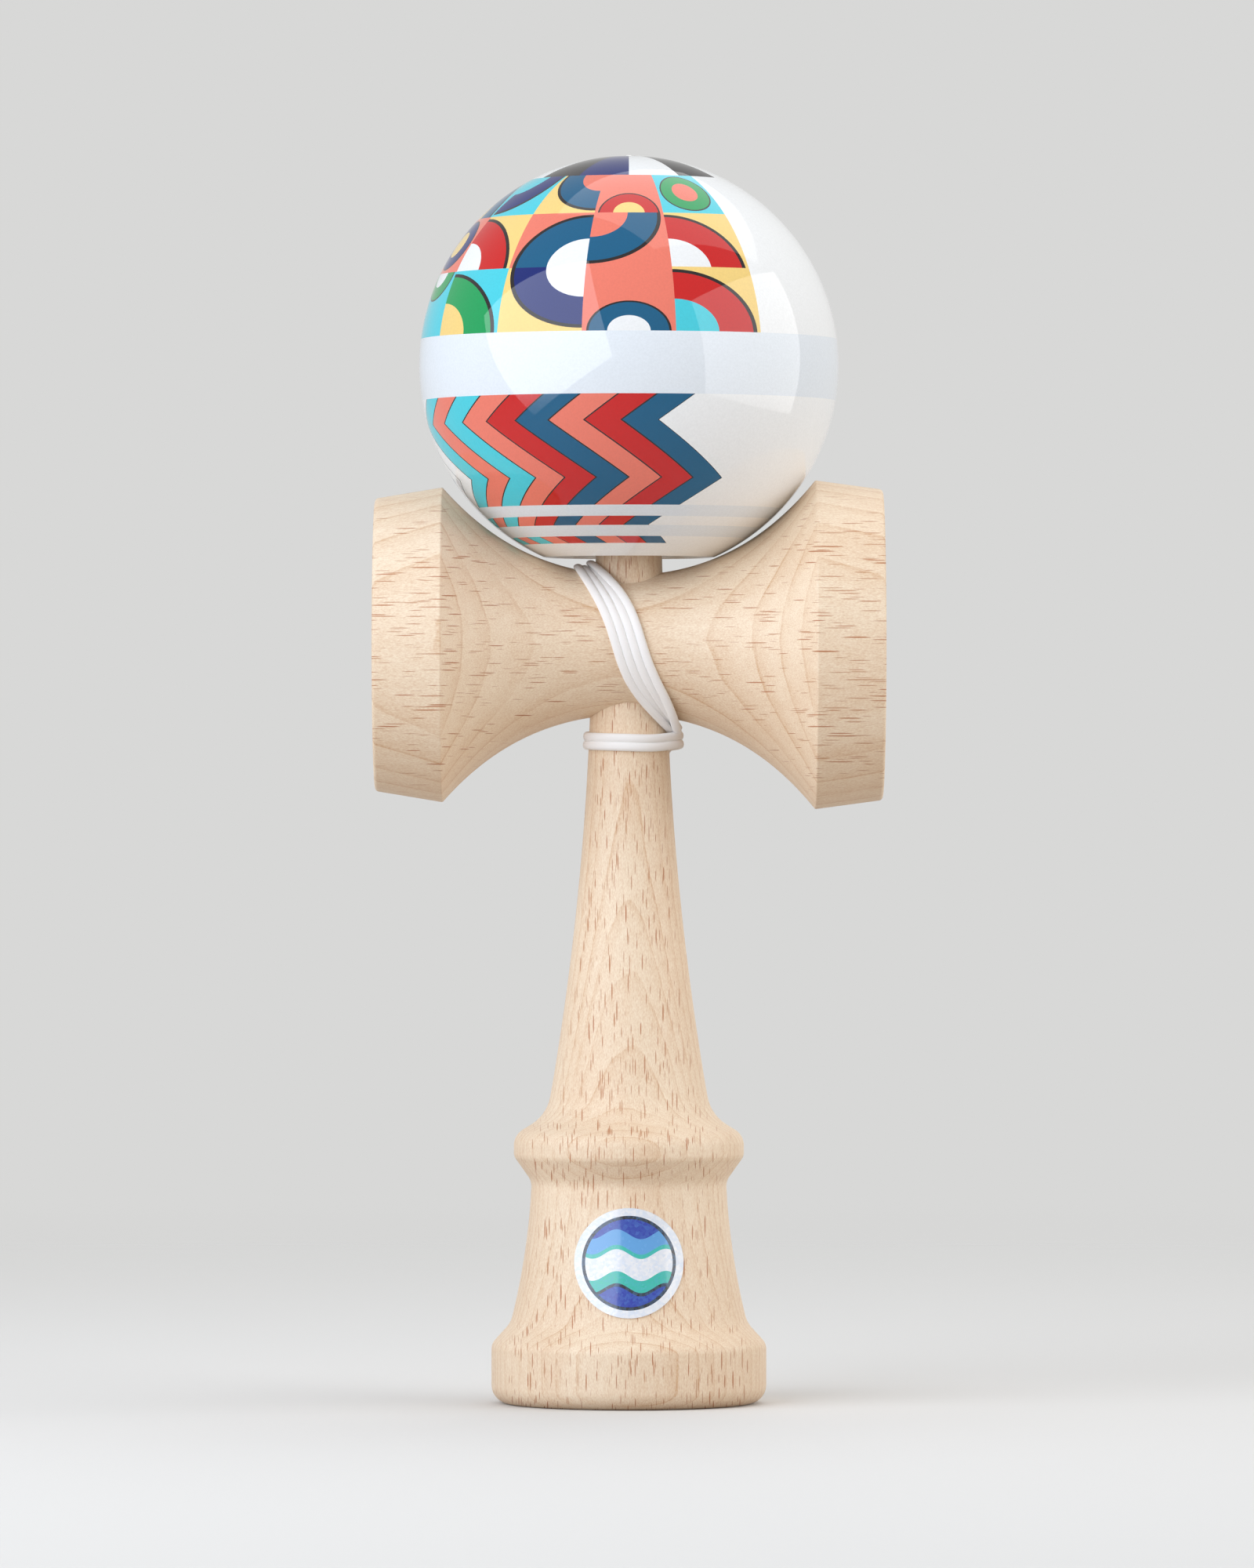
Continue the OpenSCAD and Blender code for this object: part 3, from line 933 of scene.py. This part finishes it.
@dataclass
class Sarado:
    """The cross-piece: a turned spool with a cup at each end, pushed on the handle's taper."""

    axis_z: float = 0.1084
    half_l: float = 0.0363
    ridge_x: float = 0.02665
    waist_r: float = 0.010
    big_ridge_r: float = 0.0235
    small_ridge_r: float = 0.0225
    big_rim_r: float = 0.0222
    small_rim_r: float = 0.0209
    lip_w: float = 0.002
    big_cup_depth: float = 0.010
    small_cup_depth: float = 0.0085
    flare_quartic_share: float = 0.22
    edge_round: float = 0.0006
    ridge_round: float = 0.0003
    bore_gap: float = 0.00005
    string_hole_r: float = 0.0012
    string_hole_sink: float = 0.001
    overrun: float = 0.001
    flare_parts: int = 44
    steps: int = 192

    def radius(self, x: float) -> float:
        """Radius between the ridges.

        Args:
            x: Distance from the handle's axis.

        Returns:
            The radius there.
        """
        share = min(1.0, abs(x) / self.ridge_x)
        ridge_r = self.small_ridge_r if x < 0 else self.big_ridge_r
        quartic = self.flare_quartic_share
        return self.waist_r + (ridge_r - self.waist_r) * ((1 - quartic) * share ** 2 + quartic * share ** 4)

    def outline(self) -> Outline:
        """The outline from the middle of the small cup to the middle of the big cup.

        Returns:
            The outline's points.
        """
        indexes = range(1 - self.flare_parts, self.flare_parts)
        flare = [self.ridge_x * index / self.flare_parts for index in indexes]
        big_cup_r = self.big_rim_r - self.lip_w
        small_cup_r = self.small_rim_r - self.lip_w
        return rounded([
            *cup(small_cup_r, self.small_cup_depth, -self.half_l, 1),
            Corner(small_cup_r, -self.half_l, self.edge_round),
            Corner(self.small_rim_r, -self.half_l, self.edge_round),
            Corner(self.small_ridge_r, -self.ridge_x, self.ridge_round),
            *(Corner(self.radius(x), x) for x in flare),
            Corner(self.big_ridge_r, self.ridge_x, self.ridge_round),
            Corner(self.big_rim_r, self.half_l, self.edge_round),
            Corner(big_cup_r, self.half_l, self.edge_round),
            *reversed(cup(big_cup_r, self.big_cup_depth, self.half_l, -1))])

    def build(self, ken: Ken) -> Piece:
        """Turns the cross-piece, bores it for the handle and the string, and dresses it.

        Args:
            ken: The handle that it sits on.

        Returns:
            The cross-piece.
        """
        piece = lathe("sarado_turned", self.outline(), Axis.X, self.steps)
        piece.data.transform(Matrix.Translation((0, 0, self.axis_z)))
        reach = self.waist_r + self.overrun
        low, high = self.axis_z - reach, self.axis_z + reach
        drill(piece, Vector((0, 0, low)), Vector((0, 0, 1)), high - low,
              ken.radius(low) + self.bore_gap, ken.radius(high) + self.bore_gap)
        back = Vector((0, 1, 0))
        middle = Vector((0, 0, self.axis_z))
        drill(piece, middle, back, reach, self.string_hole_r, self.string_hole_r)
        sink = self.string_hole_sink + self.overrun
        drill(piece, middle + back * (self.waist_r - self.string_hole_sink), back, sink,
              self.string_hole_r, self.string_hole_r + sink)
        finish = BeechFinish("sarado_beech", turn=(0.0, -math.pi / 2, 0.0),
                             shift=(MM_PER_M * self.axis_z, 2.4, 0.0), ring_gap=3.2, slope=-0.03,
                             fleck_length=1.6, fleck_share=-0.065, fleck_crowding=0.07)
        piece.data.materials.append(finish.material())
        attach(piece, "handle")
        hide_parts("sarado")
        return piece


@dataclass
class Tama:
    """The ball: bored for the spike, with a string hole at the top, painted and lacquered."""

    radius: float = 0.030
    mouth_r: float = 0.012
    bore_r: float = 0.0095
    mouth_z: float = 0.120807
    bore_top_z: float = 0.16795
    hole_r: float = 0.0015
    hole_sink: float = 0.0015
    mouth_round: float = 0.0004
    hole_round: float = 0.0003
    skin_parts: int = 120
    wall_parts: int = 12
    steps: int = 192

    def __post_init__(self) -> None:
        """Works out the height of the ball's centre."""
        self.centre_z = self.mouth_z + math.sqrt(self.radius ** 2 - self.mouth_r ** 2)

    def outline(self) -> Outline:
        """The closed outline: the skin from the string hole down to the mouth, then the bore and back up.

        Returns:
            The outline's points.
        """
        sink_r = self.hole_r + self.hole_sink
        start, end = math.asin(sink_r / self.radius), math.pi - math.asin(self.mouth_r / self.radius)
        indexes = range(2, self.skin_parts - 1)
        turns = [start + (end - start) * index / self.skin_parts for index in indexes]
        skin = [Corner(self.radius * math.sin(turn), self.centre_z + self.radius * math.cos(turn))
                for turn in turns]
        top_z = self.centre_z + self.radius * math.cos(start)
        wall_z = self.mouth_z + (self.mouth_r - self.bore_r)
        step = (self.bore_top_z - wall_z) / self.wall_parts
        last = Corner(self.hole_r, top_z - self.hole_sink)
        return rounded([
            last, Corner(sink_r, top_z, self.hole_round), *skin,
            Corner(self.mouth_r, self.mouth_z, self.mouth_round),
            *(Corner(self.bore_r, wall_z + step * index) for index in range(self.wall_parts)),
            Corner(self.bore_r, self.bore_top_z), Corner(self.hole_r, self.bore_top_z), last])

    def build(self) -> Piece:
        """Turns the ball and dresses it: painted outside, bare wood in the bore.

        Returns:
            The ball.
        """
        piece = lathe("tama_turned", self.outline(), Axis.Z, self.steps)
        piece.data.materials.append(LacquerFinish((0.0, 0.0, self.centre_z), self.radius).material())
        piece.data.materials.append(BeechFinish("bore_beech", light=tone(236, 214, 186)).material())
        bore_r, bore_top = self.bore_r + self.mouth_round, self.bore_top_z + self.mouth_round
        for face in piece.data.polygons:
            if math.hypot(face.center.x, face.center.y) < bore_r and face.center.z < bore_top:
                face.material_index = 1
        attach(piece, "ball")
        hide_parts("tama")
        return piece


@dataclass(frozen=True)
class RoutePoint:
    """A point of the string's route, with the way that its flat side faces."""

    place: Vector
    facing: Vector


def smooth(share: float) -> float:
    """An easing from 0 to 1."""
    return share * share * (3 - 2 * share)


def beside(items: Sequence[Item], index: int) -> tuple[Item, Item]:
    """The items before and after one, or that one itself at an end."""
    return items[max(index - 1, 0)], items[min(index + 1, len(items) - 1)]


def through(a: Vector, b: Vector, c: Vector, d: Vector, share: float) -> Vector:
    """A point between b and c on the smooth curve through four points.

    Args:
        a: The point before b.
        b: Where the stretch starts.
        c: Where the stretch ends.
        d: The point after c.
        share: How far along the stretch, from 0 to 1.

    Returns:
        The point.
    """
    span = (c - b).length
    first, second = (way.normalized() * min(way.length, span) for way in ((c - a) / 2, (d - b) / 2))
    square, cube = share ** 2, share ** 3
    return (b * (2 * cube - 3 * square + 1) + first * (cube - 2 * square + share)
            + c * (3 * square - 2 * cube) + second * (cube - square))


def sweep(name: str, line: Sequence[RoutePoint], width: float, thickness: float, sides: int) -> Piece:
    """A closed tube of string with an oval section along a line, with a UV map that follows it.

    Args:
        name: The piece's name.
        line: The points to follow.
        width: The section's size across the way it faces.
        thickness: The section's size along the way it faces.
        sides: Number of sides.

    Returns:
        The tube, with the string's finish.
    """
    vertices: list[Vector] = []
    lengths = [0.0]
    for index, point in enumerate(line):
        before, after = (other.place for other in beside(line, index))
        way = (after - before).normalized()
        out = (point.facing - way * point.facing.dot(way)).normalized()
        aside = way.cross(out)
        for side in range(sides):
            turn = FULL_TURN * side / sides
            vertices.append(point.place + aside * (math.cos(turn) * width / 2)
                            + out * (math.sin(turn) * thickness / 2))
        if index:
            lengths.append(lengths[-1] + (point.place - before).length)
    rows = [[(ring, side), (ring, side + 1), (ring + 1, side + 1), (ring + 1, side)]
            for ring in range(len(line) - 1) for side in range(sides)]
    rows.append([(0, side) for side in reversed(range(sides))])
    rows.append([(len(line) - 1, side) for side in range(sides)])
    mesh = bpy.data.meshes.new(name)
    mesh.from_pydata(vertices, [], [[ring * sides + side % sides for ring, side in row] for row in rows])
    layer = mesh.uv_layers.new(name=STRING_MAP)
    for loop, (ring, side) in zip(layer.data, (corner for row in rows for corner in row)):
        loop.uv = (side / sides, lengths[ring])
    mesh.shade_smooth()
    mesh.materials.append(bpy.data.materials["string_nylon"])
    piece = bpy.data.objects.new(name, mesh)
    bpy.context.scene.collection.objects.link(piece)
    return piece


@dataclass
class LashedString:
    """The string: wound round the cross-piece and the shaft, then over the ball's back into its bead."""

    ken: Ken
    sarado: Sarado
    tama: Tama
    width: float = 0.0013
    thickness: float = 0.00085
    pitch: float = 0.0012
    strands: int = 4
    shaft_turns: int = 2
    line_share: float = 0.5
    loop_step: int = 15
    bend_step: int = 30
    tail_turn: int = 30
    loop_swell: float = 0.0013
    loop_rise: float = 0.0007
    droop: float = 0.0007
    crest_bunch: float = 0.25
    under_bunch: float = 0.4
    turn_z: float = 0.0959
    bend_r: float = 0.0013
    ring_step: float = 0.0004
    sides: int = 12
    hole_start_y: float = 0.0014
    settle: float = 0.00002
    press_share: float = 0.6
    press_reach: float = 0.012
    dip: float = 0.001
    tail: tuple[Triple, ...] = (
        (0.0046, 0.0064, 0.0922), (0.0032, 0.0080, 0.0932), (0.0018, 0.0090, 0.0954),
        (0.0008, 0.0102, 0.0982), (0.0003, 0.0115, 0.1009), (0.0, 0.0126, 0.1034))
    lead: tuple[Pair, ...] = (
        (0.0128, 0.1038), (0.0164, 0.1114), (0.0202, 0.1194), (0.0240, 0.1273), (0.0279, 0.1352),
        (0.0298, 0.1404), (0.0308, 0.1456), (0.0308, 0.1510), (0.0298, 0.1563), (0.0280, 0.1614),
        (0.0253, 0.1660), (0.0218, 0.1702), (0.0177, 0.1737), (0.0131, 0.1764), (0.0081, 0.1784),
        (0.0046, 0.1792), (0.0026, 0.1790), (0.0012, 0.1778), (0.0004, 0.1760), (0.0, 0.1740),
        (0.0, 0.1710), (0.0, 0.1680), (0.0, 0.1650), (0.0, 0.1614))

    def __post_init__(self) -> None:
        """Works out where the strands pass the spike and the shaft."""
        self.lay = self.thickness / 2
        top, under = self.sarado.axis_z + self.sarado.waist_r, self.sarado.axis_z - self.sarado.waist_r
        self.crest_x = self.ken.radius(top) + (self.width + self.pitch * (1 - self.crest_bunch)) / 2
        shaft_r = self.ken.radius(under - self.lay - self.pitch)
        self.under_x = shaft_r + (self.width + self.pitch * (1 - self.under_bunch)) / 2
        self.mid_pitch = self.spaced(self.line_x(BACK + 1) - self.line_x(BACK - 1))

    def spaced(self, rise: float) -> float:
        """The step along the cross-piece between slanting strands, which rise so far in two degrees."""
        slope = rise / math.radians(2) / (self.sarado.waist_r + self.lay)
        return self.pitch * math.sqrt(1 + slope ** 2)

    def line_x(self, angle: float) -> float:
        """Where the lashing's middle line lies along the cross-piece.

        Args:
            angle: Angle from the top to the front, in degrees.

        Returns:
            The distance from the handle's axis.
        """
        turn = math.cos(math.radians(angle))
        reach = (self.crest_x * (1 + turn) + self.under_x * (1 - turn)) / 2
        return -reach * (self.line_share * turn + (1 - self.line_share) * turn ** 3)

    def back_shift(self, angle: float) -> float:
        """How far the strands move over on the back, so that each turn lies beside the last.

        Args:
            angle: Angle from the top to the front, in degrees.

        Returns:
            The shift along the cross-piece.
        """
        half = (self.strands - 1) / 2
        if angle < TOP:
            return -half * self.mid_pitch * (1 - smooth((angle - BACK) / QUARTER))
        if angle > UNDER:
            return -(half + 1) * self.mid_pitch * smooth((angle - UNDER) / QUARTER)
        return 0.0

    def slant_pitch(self, angle: float) -> float:
        """The strands' step along the cross-piece that keeps slanting strands one pitch apart.

        Args:
            angle: Angle from the top to the front, in degrees.

        Returns:
            The step.
        """
        if angle <= BACK or angle >= BACK_AGAIN:
            return self.mid_pitch
        after, before = min(angle + 1, BACK_AGAIN), max(angle - 1, BACK)
        rise = self.line_x(after) + self.back_shift(after) - self.line_x(before) - self.back_shift(before)
        return self.spaced(rise)

    def strand_point(self, strand: int, angle: float) -> RoutePoint:
        """A point of a strand; the outer strands fold over the inner ones at the top and the bottom.

        Args:
            strand: The strand's number.
            angle: Angle from the top to the front, in degrees.

        Returns:
            The point.
        """
        side = 1 if strand < self.strands / 2 else -1
        folds = strand in (0, self.strands - 1)
        turn = math.radians(angle)
        rise = math.cos(turn)
        flat = math.pi / 2 * (1.0 if side < 0 < rise else smooth(abs(math.sin(turn))))
        across = self.slant_pitch(angle) * (1 + 2 * math.sin(flat) if folds else 1) / 2
        across *= 1 - (self.crest_bunch if rise > 0 else self.under_bunch) * rise ** 4
        x = self.line_x(angle) + self.back_shift(angle) + side * across
        radius = self.sarado.radius(x) + self.lay + (self.thickness * math.cos(flat) if folds else 0)
        radius += self.droop * max(0.0, -rise) ** 6
        facing = Vector((0, -math.sin(turn), rise))
        return RoutePoint(Vector((x, 0, self.sarado.axis_z)) + facing * radius, facing)

    def shaft_point(self, angle: float) -> RoutePoint:
        """A point of the turns round the shaft.

        Args:
            angle: Angle from the front towards the big cup, in degrees.

        Returns:
            The point.
        """
        facing = Vector((math.sin(math.radians(angle)), -math.cos(math.radians(angle)), 0))
        outer = max(0.0, facing.x)
        z = self.turn_z - self.pitch * (angle - QUARTER) / CIRCLE + self.loop_rise * outer ** 4
        radius = self.ken.radius(z) + self.lay + self.loop_swell * outer ** 6
        return RoutePoint(facing * radius + Vector((0, 0, z)), facing)

    def exit_points(self) -> list[RoutePoint]:
        """The stretch out of the hole in the cross-piece's back, and its bend up into the first strand.

        Returns:
            The stretch's points.
        """
        z = self.sarado.axis_z
        exit_y = self.sarado.waist_r + self.lay - self.bend_r
        points = [RoutePoint(Vector((0, y, z)), Vector((0, 0, -1)))
                  for y in (self.hole_start_y, exit_y / 2)]
        for turn in (math.radians(angle) for angle in range(0, QUARTER + 1, self.bend_step)):
            out = Vector((0, math.sin(turn), -math.cos(turn)))
            points.append(RoutePoint(Vector((0, exit_y, z + self.bend_r)) + out * self.bend_r, out))
        return points

    def lead_points(self) -> list[RoutePoint]:
        """The free stretch, let down onto the ball where it lies on it.

        Returns:
            The stretch's points.
        """
        points = []
        centre = Vector((0, 0, self.tama.centre_z))
        for index, (y, z) in enumerate(self.lead):
            before, after = beside(self.lead, index)
            way = (Vector(after) - Vector(before)).normalized()
            place = Vector((0, y, z))
            outward = place - centre
            if outward.length < self.tama.radius + 2 * self.width:
                pressed = self.press_share * smooth(max(0.0, 1 - y / self.press_reach))
                low = self.tama.radius + self.lay * (1 - pressed) + self.settle
                if y > self.tama.hole_r + self.tama.hole_sink:
                    place = centre + outward.normalized() * low
                elif z > self.tama.centre_z + self.tama.radius - self.width:
                    place = place - Vector((0, 0, self.dip))
            points.append(RoutePoint(place, Vector((0, way.y, -way.x))))
        return points

    def route(self) -> list[RoutePoint]:
        """The whole route, from the anchor knot to the bead.

        Returns:
            The route's points.
        """
        points = self.exit_points()
        step = self.loop_step
        for strand in range(self.strands):
            first = BACK + step if strand == 0 else BACK
            end = UNDER if strand == self.strands - 1 else BACK_AGAIN - step
            points += [self.strand_point(strand, angle) for angle in range(first, end + 1, step)]
        turn_end = QUARTER + CIRCLE * self.shaft_turns + self.tail_turn
        points += [self.shaft_point(angle) for angle in range(QUARTER + step, turn_end + 1, step)]
        lead = self.lead_points()
        low, high = self.tail[0][2], self.tail[-1][2]
        for place in (Vector(point) for point in self.tail):
            share = smooth(min(1.0, max(0.0, (place.z - low) / (high - low))))
            around = Vector((place.x, place.y, 0)).normalized()
            points.append(RoutePoint(place, around.lerp(lead[0].facing, share).normalized()))
        return points + lead

    def centreline(self) -> list[RoutePoint]:
        """The route as one smooth curve, in steps of about one ring.

        Returns:
            The curve's points.
        """
        route = self.route()
        made = []
        for index in range(len(route) - 1):
            a, c = beside(route, index)
            b, d = beside(route, index + 1)
            steps = max(1, round((c.place - b.place).length / self.ring_step))
            for share in (step / steps for step in range(steps)):
                made.append(RoutePoint(through(a.place, b.place, c.place, d.place, share),
                                       b.facing.lerp(c.facing, share).normalized()))
        return made + [route[-1]]

    def build(self, knots: Sequence[Piece]) -> Piece:
        """Sweeps the string along its route and dresses it.

        Args:
            knots: The knots tied in it; not used.

        Returns:
            The string.
        """
        line = self.centreline()
        piece = sweep("string_wound", line, self.width, self.thickness, self.sides)
        length = sum((after.place - before.place).length for before, after in zip(line, line[1:]))
        LOG.info("string route is %.4f m long", length)
        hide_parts("string_lashing", "string_lead")
        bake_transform(piece)
        return piece


@dataclass
class StopKnot:
    """A stopper knot: the string's end wound into a barrel of wraps."""

    node: str
    body: str
    middle: Vector
    along: Vector
    diameter: float = 0.0038
    length: float = 0.0026
    wraps: int = 3
    string_w: float = 0.0011
    least_spread: float = 0.1
    steps: int = 24
    sides: int = 12

    def line(self) -> list[RoutePoint]:
        """The wound line, which starts and ends at the knot's own axis.

        Returns:
            The line's points.
        """
        aside = self.along.orthogonal().normalized()
        other = self.along.cross(aside)
        reach, rise = (self.diameter - self.string_w) / 2, self.length - self.string_w
        total = self.wraps * self.steps
        points = []
        for index in range(total + 1):
            turn = FULL_TURN * index / self.steps
            spread = smooth(min(1.0, 2 * index / self.steps, 2 * (total - index) / self.steps))
            facing = aside * math.cos(turn) + other * math.sin(turn)
            place = self.middle + self.along * (rise * (index / total - 0.5))
            points.append(RoutePoint(place + facing * (reach * max(spread, self.least_spread)), facing))
        return points

    def build(self) -> Piece:
        """Winds the knot and dresses it.

        Returns:
            The knot.
        """
        piece = sweep(self.node + "_wound", self.line(), self.string_w, self.string_w, self.sides)
        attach(piece, self.body)
        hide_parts(self.node)
        return piece


@dataclass
class Decal:
    """The round film on the front of the base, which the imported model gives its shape."""

    radius: float = 0.00775
    middle_z: float = 0.0207

    def dress(self) -> Piece:
        """Gives the film its print.

        Returns:
            The film.
        """
        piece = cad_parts["sticker"]
        piece.material_slots[0].material = DecalFinish((0.0, 0.0, self.middle_z), self.radius).material()
        return piece


@dataclass
class Bead:
    """The small wooden bead inside the ball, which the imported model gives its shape."""

    light: Colour = tone(214, 176, 132)
    dark: Colour = tone(176, 128, 86)

    def dress(self) -> Piece:
        """Gives the bead its wood.

        Returns:
            The bead.
        """
        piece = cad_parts["bead"]
        finish = BeechFinish("bead_beech", light=self.light, dark=self.dark)
        piece.material_slots[0].material = finish.material()
        return piece


@dataclass(frozen=True)
class Softbox:
    """A soft light that faces the object: its place, size, power in watts, roll in degrees and tint."""

    name: str
    place: Triple
    size: Pair
    power: float
    roll: float = 0.0
    tint: Triple = (1.0, 1.0, 1.0)
    mirrored: bool = True

    def build(self, aim: Triple) -> None:
        """Hangs the light.

        Args:
            aim: The point that it faces.
        """
        data = bpy.data.lights.new(self.name, "AREA")
        data.shape = "RECTANGLE"
        data.size, data.size_y = self.size
        data.energy = self.power
        data.color = self.tint
        light = bpy.data.objects.new(self.name, data)
        light.location = self.place
        light.visible_glossy = self.mirrored
        light.rotation_mode = "QUATERNION"
        facing = (Vector(aim) - Vector(self.place)).to_track_quat("-Z", "Y")
        light.rotation_quaternion = facing @ Quaternion((0, 0, 1), math.radians(self.roll))
        bpy.context.scene.collection.objects.link(light)


@dataclass
class Studio:
    """The plain pale floor, the soft lights and the camera."""

    aim: Triple = (0.0, 0.0, 0.12)
    camera_place: Triple = (-0.00027, -1.45, 0.0885)
    lens: float = 232.8
    sensor_w: float = 36.0
    floor_r: float = 3.0
    fade_start: float = 0.12
    fade_end: float = 0.72
    floor_roughness: float = 0.8
    floor_colour: Colour = tone(228, 227, 225)
    pale: Colour = tone(216, 216, 215)
    bounce: Colour = tone(170, 157, 144)
    ambient_high: Colour = (0.30, 0.30, 0.30, 1.0)
    ambient_low: Colour = (0.16, 0.14, 0.12, 1.0)
    horizon: Pair = (-0.3, 0.4)
    softboxes: tuple[Softbox, ...] = (
        Softbox("key_softbox", (-0.56, -0.50, 0.34), (0.95, 0.95), 7.4, roll=32, tint=(0.94, 1.0, 1.09)),
        Softbox("fill_softbox", (1.45, -0.40, 0.40), (2.0, 1.6), 18.8),
        Softbox("top_softbox", (0.25, 0.25, 1.2), (1.2, 1.2), 5.0),
        Softbox("back_softbox", (0.35, 1.6, 0.55), (1.6, 1.2), 5.0, mirrored=False))

    def build(self) -> None:
        """Makes the floor, the surroundings, the lights and the camera."""
        self.floor()
        self.surroundings()
        for softbox in self.softboxes:
            softbox.build(self.aim)
        data = bpy.data.cameras.new("camera")
        data.lens = self.lens
        data.sensor_width = self.sensor_w
        camera = bpy.data.objects.new("camera", data)
        camera.location = self.camera_place
        camera.rotation_euler = (math.pi / 2, 0, 0)
        bpy.context.scene.collection.objects.link(camera)
        bpy.context.scene.camera = camera

    def floor(self) -> None:
        """Adds a round floor that fades into the surroundings."""
        deselect()
        bpy.ops.mesh.primitive_circle_add(vertices=ROUND_SIDES, radius=self.floor_r, fill_type="NGON")
        piece = bpy.context.object
        piece.name = "floor"
        material, graph, shader = new_material("floor_pale")
        graph.fill(shader, {
            "Base Color": graph.mix(self.seen(graph), self.bounce, self.floor_colour),
            "Roughness": self.floor_roughness,
            "Alpha": graph.level(graph.length(graph.place()), self.fade_end, self.fade_start)})
        piece.data.materials.append(material)

    def surroundings(self) -> None:
        """Sets the light from all round, and the pale background that the camera and reflections see."""
        world = bpy.data.worlds.new("studio")
        world.use_nodes = True
        graph = Graph(world.node_tree)
        up = graph.split(graph.add("TexCoord").outputs["Generated"])[2]
        ambient = graph.mix(graph.level(up, *self.horizon), self.ambient_low, self.ambient_high)
        colour = graph.mix(self.seen(graph), ambient, self.pale)
        graph.fill(world.node_tree.nodes["Background"], {"Color": colour})
        bpy.context.scene.world = world

    def seen(self, graph: Graph) -> Number:
        """1 for what the camera sees, itself or in gloss and glass; 0 for light that falls on the object.

        Args:
            graph: The graph to add to.

        Returns:
            The number.
        """
        rays = graph.add("LightPath").outputs
        seen = graph.math("ADD", rays["Is Camera Ray"], rays["Is Glossy Ray"])
        return graph.math("ADD", seen, rays["Is Transmission Ray"], clamp=True)


def main() -> None:
    """Builds the studio, then the object piece by piece."""
    logging.basicConfig(level=logging.INFO, format="%(name)s: %(message)s")
    bpy.context.scene.view_settings.view_transform = "Standard"
    Studio().build()
    BeechGrain().build()
    ken, sarado, tama = Ken(), Sarado(), Tama()
    BraidFinish().material()
    anchor, bead_top = Vector((0, 0, sarado.axis_z)), Vector((0, 0, BEAD_KNOT_Z))
    knots = [StopKnot("anchor_knot", "handle", anchor, Vector((0, 1, 0))).build(),
             StopKnot("bead_knot", "bead_swivel", bead_top, Vector((0, 0, 1))).build()]
    pieces = [ken.build(), sarado.build(ken), tama.build(), *knots,
              LashedString(ken, sarado, tama).build(knots), Decal().dress(), Bead().dress()]
    for piece in pieces:
        LOG.info("%s has %d faces", piece.name, len(piece.data.polygons))


if __name__ == "__main__":
    main()
